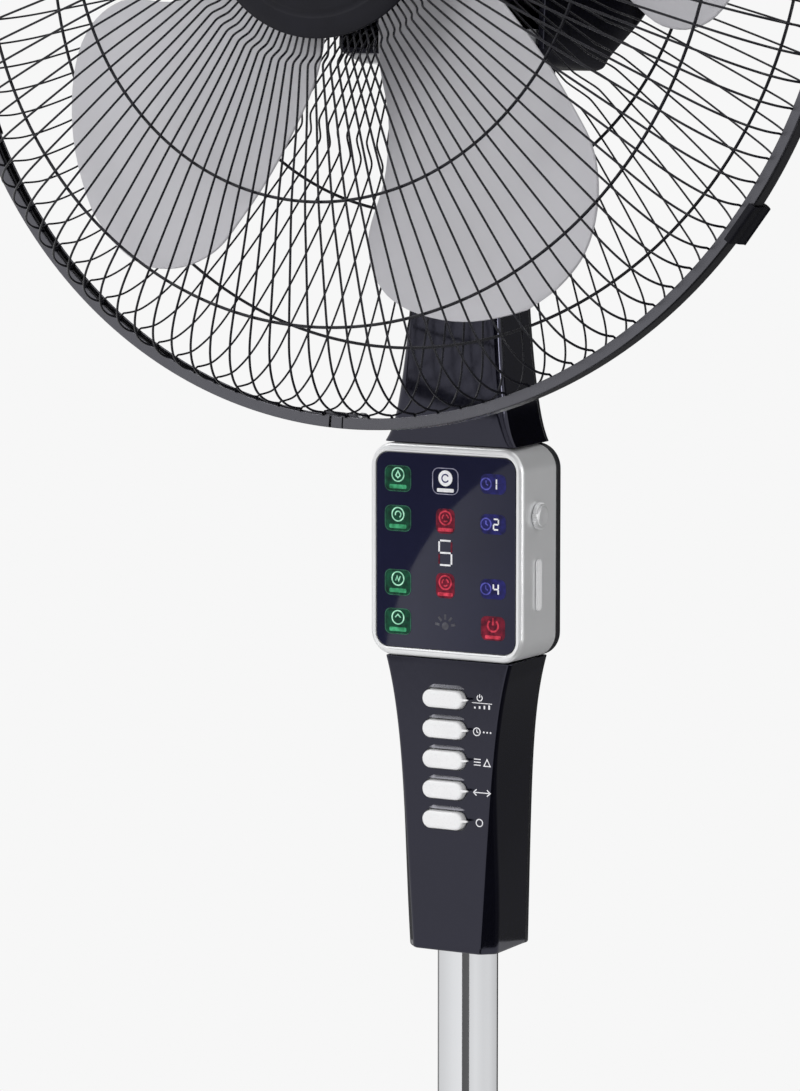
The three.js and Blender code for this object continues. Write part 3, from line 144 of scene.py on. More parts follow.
def joined(*shapes):
    verts, faces = [], []
    for more_verts, more_faces in shapes:
        start = len(verts)
        verts += more_verts
        faces += [tuple(start + i for i in face) for face in more_faces]
    return verts, faces


def moved(shape, matrix):
    return [matrix @ v for v in shape[0]], shape[1]


def shift(x, y, z):
    return Matrix.Translation((x, y, z))


SIDEWAYS = Matrix.Rotation(-pi / 2, 4, "Z")      # turns local Y to the part's right


def turn_fan(angle):
    """Rotation in degrees round the fan axis, anticlockwise for a viewer in front."""
    return Matrix.Rotation(-radians(angle), 4, "Y")


def spun(profile, segments=96, ring=True):
    """A profile of (radius, depth) turned round local Y; ring=False for one that starts and ends on the axis."""
    angles = circle_angles(segments)
    return loft([[(r * cos(t), y, r * sin(t)) for t in angles] for r, y in profile], ring)


def turned(profile, segments=96, ring=True):
    """A profile of (radius, height) turned round local Z."""
    verts, faces = spun(profile, segments, ring)
    return [v.xzy for v in verts], faces


def peg(radius, low, high, segments=32, turn=spun):
    """A plain rod, along local Y or, with turn=turned, along local Z."""
    return turn([(0, low), (radius, low), (radius, high), (0, high)], segments, False)


def rounded(points, radius, closed=True, steps=4):
    """An outline with its corners rounded; a point may carry a radius of its own as a third number."""
    result = []
    count = len(points)
    for i, corner in enumerate(points):
        here = Vector(corner[:2])
        before = Vector(points[i - 1][:2]) - here
        after = Vector(points[(i + 1) % count][:2]) - here
        wanted = corner[2] if len(corner) > 2 else radius
        reach = min(wanted, before.length * 0.48, after.length * 0.48)
        if reach < 1e-6 or not closed and i in (0, count - 1):
            result.append(tuple(here))
            continue
        start = here + before.normalized() * reach
        end = here + after.normalized() * reach
        for k in range(steps + 1):
            t = k / steps
            result.append(tuple(start * (1 - t) ** 2 + here * 2 * t * (1 - t) + end * t ** 2))
    return result


def smooth(points, steps):
    """A Catmull-Rom curve through the points, with its knots spaced by the root of each distance."""
    rows = [Vector(p) for p in points]
    rows = [rows[0] * 2 - rows[1], *rows, rows[-1] * 2 - rows[-2]]
    result = []
    for p0, p1, p2, p3 in zip(rows, rows[1:], rows[2:], rows[3:]):
        t1 = (p1 - p0).length ** 0.5
        t2 = t1 + (p2 - p1).length ** 0.5
        t3 = t2 + (p3 - p2).length ** 0.5
        for k in range(steps):
            t = t1 + (t2 - t1) * k / steps
            a1 = p0 * ((t1 - t) / t1) + p1 * (t / t1)
            a2 = p1 * ((t2 - t) / (t2 - t1)) + p2 * ((t - t1) / (t2 - t1))
            a3 = p2 * ((t3 - t) / (t3 - t2)) + p3 * ((t - t2) / (t3 - t2))
            b1 = a1 * ((t2 - t) / t2) + a2 * (t / t2)
            b2 = a2 * ((t3 - t) / (t3 - t1)) + a3 * ((t - t1) / (t3 - t1))
            result.append(b1 * ((t2 - t) / (t2 - t1)) + b2 * ((t - t1) / (t2 - t1)))
    return [*result, rows[-2]]


def rectangle(width, height, corner, steps):
    """A rounded rectangle as a function of how far it is drawn in."""
    def outline(inset=0.0):
        r = max(corner - inset, 0.05)
        x, z = width / 2 - inset - r, height / 2 - inset - r
        corners = ((x, z, 0), (-x, z, 90), (-x, -z, 180), (x, -z, 270))
        return [p for cx, cz, start in corners for p in arc(r, start, start + 90, steps, (cx, cz))]
    return outline


def lobed(radius, lobes, depth, steps):
    """A wavy circle as a function of how far it is drawn in."""
    def outline(inset=0.0):
        angles = circle_angles(lobes * steps)
        radii = [radius - inset - depth * (0.5 - 0.5 * cos(t * lobes)) for t in angles]
        return [(r * cos(t), r * sin(t)) for r, t in zip(radii, angles)]
    return outline


EDGE_STEPS = 4


def quarter_turn(steps):
    return [pi / 2 * k / steps for k in range(steps + 1)]


def edges(low, high, low_round, high_round):
    """Levels (place, inset) of a slab whose two faces have rounded edges."""
    quarter = quarter_turn(EDGE_STEPS)
    rise = [(low + low_round * (1 - cos(t)), low_round * (1 - sin(t))) for t in quarter]
    fall = [(high - high_round * (1 - cos(t)), high_round * (1 - sin(t))) for t in reversed(quarter)]
    return rise + fall


def layer(points, y, centre=(0, 0)):
    return [(x + centre[0], y, z + centre[1]) for x, z in points]


def slab(outline, levels, centre=(0, 0)):
    """An outline in X and Z given thickness along Y."""
    return loft([layer(outline(inset), y, centre) for y, inset in levels])


def knob(radius, depth, low, high, end_round):
    """A grip of six lobes along local Y, with a shallow dish in its end."""
    levels = [*edges(low, high, 1.2, end_round), (high, end_round + 1.4), (high - 0.8, end_round + 2.2)]
    return slab(lobed(radius, 6, depth, 16), levels)


WIRE_SIDES = 8


def tube(path, radius, side):
    """A round wire along a flat path whose plane has the normal side."""
    angles = circle_angles(WIRE_SIDES)
    loops = []
    for before, p, after in zip([path[0], *path], path, [*path[1:], path[-1]]):
        across = (after - before).normalized().cross(side)
        loops.append([p + across * radius * cos(t) + side * radius * sin(t) for t in angles])
    return loft(loops)


def ribbon(path, width, front, back, closed=False):
    """A flat stroke along a path in X and Z, from Y = front to back."""
    count = len(path)
    points = [Vector(p) for p in path]
    loops = []
    for i, p in enumerate(points):
        before = points[i - 1] if closed or i else p * 2 - points[1]
        after = points[(i + 1) % count] if closed or i < count - 1 else p * 2 - points[i - 1]
        inward, outward = (p - before).normalized(), (after - p).normalized()
        along = (inward + outward).normalized()
        side = Vector((-along.y, along.x)) * (width / 2 / max(along.dot(outward), 0.5))
        ends = [p + side, p - side]
        loops.append([(q.x, front, q.y) for q in ends] + [(q.x, back, q.y) for q in reversed(ends)])
    return loft(loops, ring=closed)


# ---------------------------------------------------------------- pieces
def shade(mesh, angle):
    mesh.shade_smooth()
    mesh.set_sharp_from_angle(angle=radians(angle))


WELD, SPECK = 2e-6, 1e-7      # metres: points closer than the first are merged, edges shorter than the second go


def new_piece(name, shape, angle=35):
    verts, faces = shape
    mesh = bpy.data.meshes.new(name)
    mesh.from_pydata([v * MM for v in verts], [], faces)
    work = bmesh.new()
    work.from_mesh(mesh)
    bmesh.ops.remove_doubles(work, verts=work.verts, dist=WELD)
    bmesh.ops.dissolve_degenerate(work, edges=work.edges, dist=SPECK)
    bmesh.ops.recalc_face_normals(work, faces=work.faces)
    work.to_mesh(mesh)
    work.free()
    shade(mesh, angle)
    return new_object(name, mesh)


def apply_modifiers(piece):
    bpy.context.view_layer.update()
    graph = bpy.context.evaluated_depsgraph_get()
    mesh = bpy.data.meshes.new_from_object(piece.evaluated_get(graph))
    piece.modifiers.clear()
    piece.data = mesh


def combine(piece, shape, operation="DIFFERENCE", angle=35):
    """Cuts a shape out of a piece, or joins it on; the shape's own parts lie apart from each other."""
    tool = new_piece("tool", shape)
    change = piece.modifiers.new("change", "BOOLEAN")
    change.operation = operation
    change.solver = "EXACT"
    change.object = tool
    apply_modifiers(piece)
    shade(piece.data, angle)
    bpy.data.objects.remove(tool)


def finish_piece(piece, body, slot, look, *nodes):
    even = piece.modifiers.new("even", "WEIGHTED_NORMAL")
    even.keep_sharp = True
    apply_modifiers(piece)
    piece.data.materials.clear()
    piece.data.materials.append(LOOKS[look])
    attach(piece, body)
    if nodes:
        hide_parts(*nodes)


def add_piece(name, shape, body, slot, look, *nodes, angle=35):
    finish_piece(new_piece(name, shape, angle), body, slot, look, *nodes)


# ---------------------------------------------------------------- materials
def add_node(look, kind, inputs=None, **settings):
    node = look.node_tree.nodes.new("ShaderNode" + kind)
    for name, value in settings.items():
        setattr(node, name, value)
    for socket, value in (inputs or {}).items():
        if isinstance(value, bpy.types.NodeSocket):
            look.node_tree.links.new(value, node.inputs[socket])
        else:
            node.inputs[socket].default_value = value
    return node


def new_look(name, **constants):
    """A material, its shader and its coordinates; the constants go straight onto the shader's own sockets."""
    look = bpy.data.materials.new(name)
    look.use_nodes = True
    shader = look.node_tree.nodes["Principled BSDF"]
    for socket, value in constants.items():
        shader.inputs[socket.replace("_", " ")].default_value = (*value, 1) if isinstance(value, tuple) else value
    return look, shader, add_node(look, "TexCoord").outputs["Object"]


def noise(look, place, scale, detail=3.0, stretch=(1, 1, 1)):
    spread = add_node(look, "Mapping", {"Vector": place, "Scale": stretch}).outputs["Vector"]
    return add_node(look, "TexNoise", {"Vector": spread, "Scale": scale, "Detail": detail}).outputs["Fac"]


NOISE_RANGE = (0.3, 0.7)      # most of a noise texture's values lie between these


def ramp(look, factor, dark, light, limits=NOISE_RANGE):
    """A colour that goes from dark to light while the factor goes from one limit to the other."""
    node = add_node(look, "ValToRGB", {"Fac": factor})
    for element, position, colour in zip(node.color_ramp.elements, limits, (dark, light)):
        element.position = position
        element.color = (*colour, 1)
    return node.outputs["Color"]


def scaled(look, factor, low, high):
    """A noise value spread from low to high."""
    inputs = {"Value": factor, "From Min": NOISE_RANGE[0], "From Max": NOISE_RANGE[1], "To Min": low, "To Max": high}
    return add_node(look, "MapRange", inputs).outputs["Result"]


def connect(look, shader, colour, roughness=None, height=None, bump=0.1, depth=0.1):
    links = look.node_tree.links
    links.new(colour, shader.inputs["Base Color"])
    if roughness:
        links.new(roughness, shader.inputs["Roughness"])
    if height:
        relief = add_node(look, "Bump", {"Height": height, "Strength": bump, "Distance": depth * MM})
        links.new(relief.outputs["Normal"], shader.inputs["Normal"])


def plastic(name, colour, gloss, contrast, cloud, grain, bump, depth, detail=2, stretch=(1, 1, 1), **constants):
    """Moulded plastic: soft clouds of two close tones, and a fine grain in its gloss and its surface."""
    look, shader, place = new_look(name, **constants)
    dark, light = [tuple(c * share for c in colour) for share in (1 - contrast, 1 + contrast)]
    fine = noise(look, place, grain, detail, stretch)
    clouds = ramp(look, noise(look, place, cloud), dark, light)
    connect(look, shader, clouds, scaled(look, fine, *gloss), fine, bump, depth)
    return look


def metal(name, colour, gloss, stretch, scale, contrast, bump, depth):
    """Bare or plated metal with streaks along the directions where stretch is small."""
    return plastic(name, colour, gloss, contrast, 20, scale, bump, depth, 4, stretch, Metallic=1.0)


def layered(name, first, second, scale, direction, gloss, metallic):
    """Stacked sheets or wound wire: bands of two tones with a ridge at each."""
    look, shader, place = new_look(name, Metallic=metallic)
    inputs = {"Vector": place, "Scale": scale, "Distortion": 0.4, "Detail": 2.0}
    bands = add_node(look, "TexWave", inputs, bands_direction=direction).outputs["Fac"]
    fine = scaled(look, noise(look, place, 500, 2), *gloss)
    connect(look, shader, ramp(look, bands, first, second, (0.1, 0.8)), fine, bands, 0.5, 0.3)
    return look


def board_look():
    look, shader, place = new_look("circuit_board")
    cells = add_node(look, "TexVoronoi", {"Vector": place, "Scale": 260.0}, distance="MANHATTAN").outputs["Distance"]
    paths = ramp(look, cells, (0.01, 0.07, 0.03), (0.03, 0.17, 0.08), (0.25, 0.6))
    connect(look, shader, paths, scaled(look, noise(look, place, 300), 0.4, 0.6), cells)
    return look


def glowing(name, colour, light, strength, edge=0.25):
    """A lit mark: uneven ink over a weak lamp. Behind the glass it shows the display's lit marks; the same glow on
    the white print beside the buttons is painted light.
    """
    look, shader, place = new_look(name, Emission_Strength=strength, Roughness=0.35, Specular_IOR_Level=0.15)
    tint = ramp(look, noise(look, place, 420, 3), tuple(c * (1 - edge) for c in colour), light)
    connect(look, shader, tint)
    look.node_tree.links.new(tint, shader.inputs["Emission Color"])
    return look


EVEN = (1, 1, 1)
LOOKS = {
    "gloss": plastic(
        "gloss_black_plastic", (0.0014, 0.0014, 0.0035), (0.07, 0.13), 0.3, 30, 700, 0.02, 0.02,
        Specular_IOR_Level=0.66, Specular_Tint=(0.76, 0.76, 1.0)),
    "satin": plastic("satin_black_plastic", (0.012, 0.012, 0.015), (0.38, 0.5), 0.2, 40, 1400, 0.3, 0.06),
    "base": plastic("base_black_plastic", (0.006, 0.006, 0.009), (0.2, 0.3), 0.25, 12, 1100, 0.2, 0.05),
    "silver": plastic(
        "silver_paint", (0.86, 0.865, 0.875), (0.28, 0.30), 0.01, 60, 120, 0.01, 0.01, Metallic=0.5),
    "white": plastic("white_plastic", (0.86, 0.86, 0.87), (0.25, 0.34), 0.02, 80, 1500, 0.1, 0.03),
    "nylon": plastic("nylon", (0.62, 0.61, 0.57), (0.4, 0.5), 0.05, 60, 900, 0.2, 0.05),
    "blade": plastic("blade_plastic", (0.535, 0.53, 0.56), (0.36, 0.46), 0.03, 18, 1300, 0.15, 0.04),
    "wire": plastic(
        "coated_wire", (0.007, 0.007, 0.011), (0.22, 0.32), 0.25, 60, 1500, 0.2, 0.03, Specular_IOR_Level=0.3),
    "band": metal("rim_band_paint", (0.125, 0.125, 0.14), (0.24, 0.32), EVEN, 300, 0.05, 0.03, 0.02),
    "badge": plastic(
        "badge_plastic", (0.006, 0.006, 0.010), (0.35, 0.45), 0.2, 60, 1600, 0.1, 0.03, Specular_IOR_Level=0.2),
    "lens": plastic("dark_lens", (0.013, 0.014, 0.036), (0.012, 0.025), 0.12, 20, 300, 0.002, 0.005),
    "rubber": plastic("rubber", (0.022, 0.022, 0.023), (0.75, 0.9), 0.25, 60, 600, 0.5, 0.1),
    "chrome": metal("chrome", (0.80, 0.81, 0.83), (0.04, 0.08), (1, 1, 0.03), 500, 0.02, 0.01, 0.005),
    "steel": metal("steel", (0.55, 0.56, 0.58), (0.28, 0.42), (1, 0.2, 1), 700, 0.1, 0.2, 0.03),
    "shield": metal("cast_aluminium", (0.42, 0.43, 0.44), (0.45, 0.6), EVEN, 260, 0.12, 0.5, 0.1),
    "iron": metal("cast_iron", (0.11, 0.11, 0.115), (0.65, 0.85), EVEN, 240, 0.3, 0.6, 0.2),
    "bronze": metal("bronze", (0.50, 0.36, 0.16), (0.35, 0.5), EVEN, 300, 0.12, 0.3, 0.05),
    "laminated": layered("laminated_iron", (0.04, 0.04, 0.045), (0.14, 0.14, 0.15), 900.0, "Y", (0.5, 0.7), 0.8),
    "copper": layered("copper_winding", (0.20, 0.07, 0.03), (0.62, 0.26, 0.12), 420.0, "Z", (0.25, 0.4), 0.85),
    "board": board_look(),
}
INKS = {
    # white also serves the print beside the buttons, where its glow is painted light
    "white": ((0.72, 0.72, 0.75), (0.86, 0.86, 0.88), 0.15, 0.1),
    "lilac": ((0.22, 0.22, 0.32), (0.40, 0.40, 0.52), 0.1),
    "grey": ((0.06, 0.06, 0.075), (0.11, 0.11, 0.13), 0.02),
    "green": ((0.02, 0.20, 0.08), (0.07, 0.42, 0.20), 0.15),
    "green_dim": ((0.02, 0.08, 0.05), (0.04, 0.16, 0.10), 0.1),
    "green_pale": ((0.20, 0.62, 0.38), (0.50, 0.90, 0.68), 0.2, 0.3),
    "green_deep": ((0.004, 0.024, 0.018), (0.006, 0.075, 0.036), 0.1),
    "red": ((0.35, 0.02, 0.04), (0.70, 0.06, 0.10), 0.15),
    "red_deep": ((0.05, 0.006, 0.018), (0.20, 0.012, 0.03), 0.1),
    "blue": ((0.05, 0.05, 0.26), (0.13, 0.13, 0.55), 0.15),
    "blue_deep": ((0.012, 0.012, 0.06), (0.02, 0.02, 0.14), 0.1),
}
LOOKS.update({f"ink_{ink}": glowing(f"ink_{ink}", *values) for ink, values in INKS.items()})


# ---------------------------------------------------------------- base and pole
FIT = 0.3                 # the gap between pieces that slide or turn in each other
COVER_WALL = 2.5
EDGE_HEIGHT = 12
EDGE_WIDTH = 3
SLEEVE_WALL = 4.7
SLEEVE_SKIRT = 22
SCREW_HOLE = 4.3
KNOB_GRIP = 15


def build_base():
    low, high = box("base_cover")
    tube_radius = box("outer_tube")[1].x
    sleeve = tube_radius + FIT + SLEEVE_WALL
    radius, bottom, top = high.x, low.z, high.z
    bend = (radius * 0.7, EDGE_HEIGHT + (top - EDGE_HEIGHT) * 0.6)
    groove = radius - 16
    slope = (bend[1] - EDGE_HEIGHT) / (radius - EDGE_WIDTH - bend[0])
    level = EDGE_HEIGHT + slope * (radius - EDGE_WIDTH - groove)
    skin = [
        (radius - 0.4, bottom), (radius, bottom + 1, 0.6), (radius, EDGE_HEIGHT - 3, 2.5),
        (radius - EDGE_WIDTH, EDGE_HEIGHT, 3), (groove + 1, level - slope, 0.3),
        (groove + 0.6, level - slope - 0.7, 0.2), (groove - 0.6, level + slope - 0.9, 0.2),
        (groove - 1, level + slope, 0.3), (*bend, 40), (sleeve + SLEEVE_SKIRT, top - 1.5, 12),
        (sleeve + 1.5, top, 1), (sleeve + FIT, top - 1)]
    lining = [
        (sleeve + FIT, top - COVER_WALL), (sleeve + SLEEVE_SKIRT, top - 1.5 - COVER_WALL),
        (bend[0], bend[1] - COVER_WALL), (radius - COVER_WALL, EDGE_HEIGHT - COVER_WALL - 1),
        (radius - COVER_WALL, bottom)]
    profile = rounded(skin, 0, closed=False) + lining
    add_piece("base_cover_shell", turned(profile, 180), "base", "gloss_black", "base", "base_cover")

    low, high = box("tube_foot")
    flange = low.z + 5
    groove = high.z - 8
    outline = rounded([
        (SCREW_HOLE, low.z, 0), (high.x, low.z), (high.x, flange), (sleeve, flange, 1), (sleeve, groove - 1.2, 0.4),
        (sleeve - 0.9, groove - 0.6, 0.3), (sleeve - 0.9, groove + 0.6, 0.3), (sleeve, groove + 1.2, 0.4),
        (sleeve, high.z, 2), (tube_radius + FIT, high.z, 0.6), (tube_radius + FIT, flange, 0),
        (SCREW_HOLE, flange, 0)], 0.6)
    add_piece("foot_sleeve", turned(outline), "base", "satin_black", "satin", "tube_foot")


def build_tube(name, node, wall, body):
    low, high = box(node)
    inside = high.x - wall
    outline = rounded([(high.x, low.z), (high.x, high.z), (inside, high.z), (inside, low.z)], 0.4)
    add_piece(name, turned(outline, 128), body, "chrome", "chrome", node)
    return high


def build_pole():
    outer = build_tube("outer_pole", "outer_tube", 1.5, "base")
    inner = build_tube("inner_pole", "inner_tube", 1.2, "column")
    sleeve, mouth = outer.x + FIT, outer.z + FIT

    low, high = box("height_collar")
    outside, bottom, top = high.x, low.z, high.z
    outline = rounded([
        (sleeve, bottom, 0.3), (outside, bottom, 1.2), (outside, bottom + 4, 0.3),
        (outside - 0.8, bottom + 4.6, 0.3), (outside - 0.8, bottom + 6, 0.3), (outside, bottom + 6.6, 0.3),
        (outside, top - 5, 3), (outside - 4.5, top, 2), (inner.x + FIT, top, 0.8), (inner.x + FIT, mouth, 0),
        (sleeve, mouth, 0)], 0.5, steps=5)
    collar = new_piece("collar", turned(outline))
    near, start = high.y, outer.x + 1
    boss = rounded([(SCREW_HOLE, start, 0), (9, start, 0), (9, near, 1), (SCREW_HOLE, near, 0.5)], 0)
    low, high = box("height_knob")
    lift = shift(0, 0, (low.z + high.z) / 2)
    combine(collar, moved(spun(boss, 48), lift), "UNION")
    combine(collar, moved(peg(3.9, 0, 60, 24), lift))
    finish_piece(collar, "base", "satin_black", "satin", "height_collar")

    grip = high.y - KNOB_GRIP
    shape = moved(knob(high.x, 2.5, grip, high.y, 2.2), lift)
    add_piece("height_knob_grip", shape, "height_knob", "satin_black", "satin", "height_knob", angle=50)
    thread = [(0, low.y), (3.3, low.y)]
    pitch = 1.4
    for k in range(int((grip - low.y) / pitch)):
        thread += [(4, low.y + (k + 0.35) * pitch), (3.4, low.y + (k + 0.85) * pitch)]
    thread += [(3.9, grip), (3.9, grip + 2), (0, grip + 2)]
    add_piece("height_screw", moved(spun(thread, 32, False), lift), "height_knob", "steel", "steel")


# ---------------------------------------------------------------- control column
COLUMN_FACE = -19
COLUMN_BACK = 18
COLUMN_WALL = 2
SEAM = 14.6


def height_share(node, z):
    """A height as a share of a CAD node's own height."""
    low, high = box(node)
    return (z - low.z) / (high.z - low.z)


def housing_section(z):
    """Half width in front, half width behind, and the front face of the lower housing at a height."""
    t = height_share("lower_housing", z)
    return 17.0 + 8.8 * t + 5.1 * t ** 6, 21.3 + 3 * t + 6 * t ** 6, COLUMN_FACE


def housing_facet(z):
    """How far the housing's narrow corner faces reach at a height, sideways and back; they widen downwards."""
    fall = max(0.0, 1 - height_share("lower_housing", z) / 0.72)
    share = 0.2 + 0.8 * fall * fall * (3 - 2 * fall)
    return 5.3 * share, 5.7 * share


def neck_section(z):
    t = 1 - height_share("neck_front", z)
    return 22 + 8 * t ** 2 + 3.5 * t ** 14, 20.4 + 8.5 * t ** 2 + 2 * t ** 14, COLUMN_FACE + 0.5 + 5 * (1 - t)


def side_at(section, y, z):
    """Half width in front, half width at a depth, half width behind, and the front face at a height."""
    front, back, face = section(z)
    return front, front + (back - front) * (y - face) / (COLUMN_BACK - face), back, face


def front_loop(section, z, corner, inset, facet=None):
    """The front shell at one height: a U that opens towards the back."""
    front, side, _, face = side_at(section, SEAM, z)
    hollow = max(COLUMN_WALL, inset + 0.4)
    right = [(front - inset, face + inset, corner), (side - inset, SEAM)]
    if facet:
        out, behind = facet(z)
        right.insert(1, (front + out - inset, face + behind, corner + 0.4))
    outer = rounded([(-p[0], *p[1:]) for p in reversed(right)] + right, 0, False, 8)
    inner = rounded([(side - hollow, SEAM), (front - hollow, face + hollow, corner - 1),
                     (-front + hollow, face + hollow, corner - 1), (-side + hollow, SEAM)], 0, False, 8)
    return [(x, y, z) for x, y in outer + inner]


def back_loop(section, z, corner, inset):
    start, stop = SEAM + FIT, COLUMN_BACK - inset
    _, side, back, _ = side_at(section, start, z)
    outline = rounded([(-side + inset, start, 0.2), (side - inset, start, 0.2),
                       (back - inset, stop, corner), (-back + inset, stop, corner)], 0)
    return [(x, y, z) for x, y in outline]


def column_levels(low, high, low_round, high_round, count):
    """Heights and insets of a column shell, with rounded ends."""
    inner = [low + low_round + (high - high_round - low - low_round) * k / count for k in range(1, count)]
    ends = edges(low, high, low_round, high_round)
    half = len(ends) // 2
    return ends[:half] + [(z, 0) for z in inner] + ends[half:]


BUTTONS = range(1, 6)
BUTTON_WIDTH = 21.2
BUTTON_HEIGHT = 8.7
BUTTON_SHIFT = -1.0


def button_place(number):
    return BUTTON_SHIFT, middle(f"button_{number}").z


def build_lower_housing():
    low, high = box("lower_housing")
    levels = column_levels(low.z, high.z, 1.2, 0.5, 44)
    loops = [front_loop(housing_section, z, 1.2, i, housing_facet) for z, i in levels]
    shell = new_piece("housing_front", loft(loops))
    hole = rectangle(BUTTON_WIDTH + 2 * FIT, BUTTON_HEIGHT + 2 * FIT, BUTTON_HEIGHT / 2 + FIT, 10)
    through = [(COLUMN_FACE - 4, 0), (COLUMN_FACE + 5, 0)]
    combine(shell, joined(*(slab(hole, through, button_place(number)) for number in BUTTONS)), angle=30)
    finish_piece(shell, "column", "gloss_black", "gloss", "lower_housing")

    back = new_piece("housing_back", loft([back_loop(housing_section, z, 2.6, i) for z, i in levels]))
    recess = peg(3.4, COLUMN_BACK - 1.6, COLUMN_BACK + 2)
    recesses = [moved(recess, shift(x, 0, z)) for x in (-11, 11) for z in (low.z + 48, high.z - 20)]
    combine(back, joined(*recesses), angle=30)
    finish_piece(back, "column", "satin_black", "satin", "lower_housing_back")

    low, high = box("cable_gland")
    flange = COLUMN_BACK + 2.4
    outline = [
        (2.6, low.y), (4.2, low.y), (4.2, COLUMN_BACK + FIT), (6.6, COLUMN_BACK + FIT, 0.3), (6.6, flange, 0.8),
        (4.4, flange, 0.3)]
    step = (high.y - flange) / 4
    for k in range(3):
        ridge = ((4.2, 0.6), (3.3, 0.7), (3.3, 0.95), (4.1 - 0.2 * k, 1.05))
        outline += [(r, flange + (k + share) * step, 0.2) for r, share in ridge]
    outline += [(3.3, high.y, 0.4), (2.6, high.y, 0.3)]
    gland = moved(spun(rounded(outline, 0.1), 48), shift(0, 0, middle("cable_gland").z))
    add_piece("gland_sleeve", gland, "column", "rubber", "rubber", "cable_gland")


def build_buttons():
    outline = rectangle(BUTTON_WIDTH, BUTTON_HEIGHT, BUTTON_HEIGHT / 2, 12)
    tip = BUTTON_WIDTH / 2
    tab = rounded([(tip - 1.3, -0.3), (tip + 2.5, 0.3, 0.3), (tip + 2.0, 0.9, 0.3), (tip - 1.3, 1.0)], 0.1)
    face, flange = COLUMN_FACE, COLUMN_FACE + COLUMN_WALL + FIT
    for number in BUTTONS:
        node = f"button_{number}"
        low, high = box(node)
        centre = button_place(number)
        front = low.y
        levels = [(flange + 1.3, -1.2), (flange, -1.2), (flange, 0.2), (front + 1.5, 0.3), (front + 0.75, 0.45),
                  (front + 0.3, 0.8), (front + 0.07, 1.4), (front, 2.2)]
        stem = moved(peg(1.8, flange + 1.1, high.y, 16), shift(0, 0, centre[1]))
        pointer = loft([layer(tab, y, centre) for y in (front + 0.15, front + 1.1)])
        cap = joined(slab(outline, levels, centre), stem, pointer)
        add_piece(f"button_cap_{number}", cap, node, "white_plastic", "white", node, angle=50)

        # The light strip above the cap: a wedge that is thin at both ends.
        foot = centre[1] + BUTTON_HEIGHT / 2 + 0.45
        strip = []
        for x, size in ((-8.0, 0.2), (-5.6, 1), (7.2, 1), (9.8, 0.2)):
            wedge = ((face + 0.3, 0), (face - 1.1 * size, 0), (face - 0.05, 1.4), (face + 0.3, 1.4))
            strip.append([(BUTTON_SHIFT + x, y, foot + rise * size) for y, rise in wedge])
        add_piece(f"button_brow_{number}", loft(strip), "column", None, "band", angle=20)


# ---------------------------------------------------------------- display box
BOX_CORNER = 11
BOX_WALL = 2
BOX_SEAM = 10
LENS_CORNER = 6
LENS_LEDGE = 2


def trim_place(node):
    """Puts a shape drawn round local Y on the box's right side, at the middle of a CAD node."""
    return shift(0, middle(node).y, middle(node).z) @ SIDEWAYS


def build_display():
    low, high = box("display_bezel")
    width, height, front, seam = high.x * 2, high.z - low.z, low.y, BOX_SEAM
    centre = (0, middle("display_bezel").z)
    low, high = box("display_lens")
    body = rectangle(width, height, BOX_CORNER, 12)
    hollow = rectangle(width - 2 * BOX_WALL, height - 2 * BOX_WALL, BOX_CORNER - BOX_WALL, 12)
    pane = rectangle(high.x * 2, high.z - low.z, LENS_CORNER, 12)
    ledge = high.y + FIT
    ring = [
        (body, seam, 0.3), (body, seam - 0.3, 0), (body, front + 2.6, 0), (body, front + 1.5, 0.25),
        (body, front + 0.7, 0.85), (body, front + 0.2, 1.7), (body, front, 2.7), (pane, front + 0.02, -1.7),
        (pane, front + 0.4, -1.6), (pane, front + 0.4, -1.2), (pane, front + 0.02, -1.1), (pane, front + 0.05, -0.75),
        (pane, front + 0.3, -0.35), (pane, ledge, -0.3), (pane, ledge, LENS_LEDGE), (pane, ledge + 1.2, LENS_LEDGE),
        (hollow, ledge + 1.2, 0), (hollow, seam, 0)]
    shape = loft([layer(outline(inset), y, centre) for outline, y, inset in ring], ring=True)
    add_piece("display_frame", shape, "column", "silver_plastic", "silver", "display_bezel", angle=50)

    window = slab(pane, edges(low.y, high.y, 0.3, 0.1), centre)
    add_piece("display_window", window, "column", "lens", "lens", "display_lens")

    low, high = box("display_back")
    levels = [
        (low.y, 0.3), (low.y + 0.3, 0), (SEAM - 0.6, 0), (SEAM - 0.1, 0.5), (SEAM - 0.1, 6.2), (SEAM + 1.2, 7.2),
        (high.y - 2, 7.6), (high.y - 0.9, 8.2), (high.y - 0.2, 9.4), (high.y, 11)]
    add_piece("display_rear", slab(body, levels, centre), "column", "satin_black", "satin", "display_back")

    low, high = box("crown_trim")
    radius = (high.y - low.y) / 2
    levels = [
        (low.x, 0.4, 0.2), (low.x + 0.3, 0, 0.35), (high.x - 1.3, 0, 0.35), (high.x - 0.85, 0.4, 0.2),
        (high.x - 0.75, 1.2, 0), (high.x - 0.7, 1.4, 0), (high.x - 0.25, 1.5, 0), (high.x, 2.1, 0),
        (high.x - 0.1, 4.2, 0), (high.x - 0.35, radius - 0.6, 0)]
    crown = loft([layer(lobed(radius - inset, 36, depth, 4)(), x) for x, inset, depth in levels])
    add_piece("crown_cap", moved(crown, trim_place("crown_trim")), "column", "silver_plastic", "silver",
              "crown_trim", angle=25)

    low, high = box("side_trim")
    bar = rectangle(high.y - low.y, high.z - low.z, (high.y - low.y) / 2, 8)
    levels = [(low.x, 0), (high.x - 0.6, 0), (high.x - 0.25, 0.15), (high.x, 0.6)]
    add_piece("side_bar", moved(slab(bar, levels), trim_place("side_trim")), "column", "silver_plastic", "white",
              "side_trim")


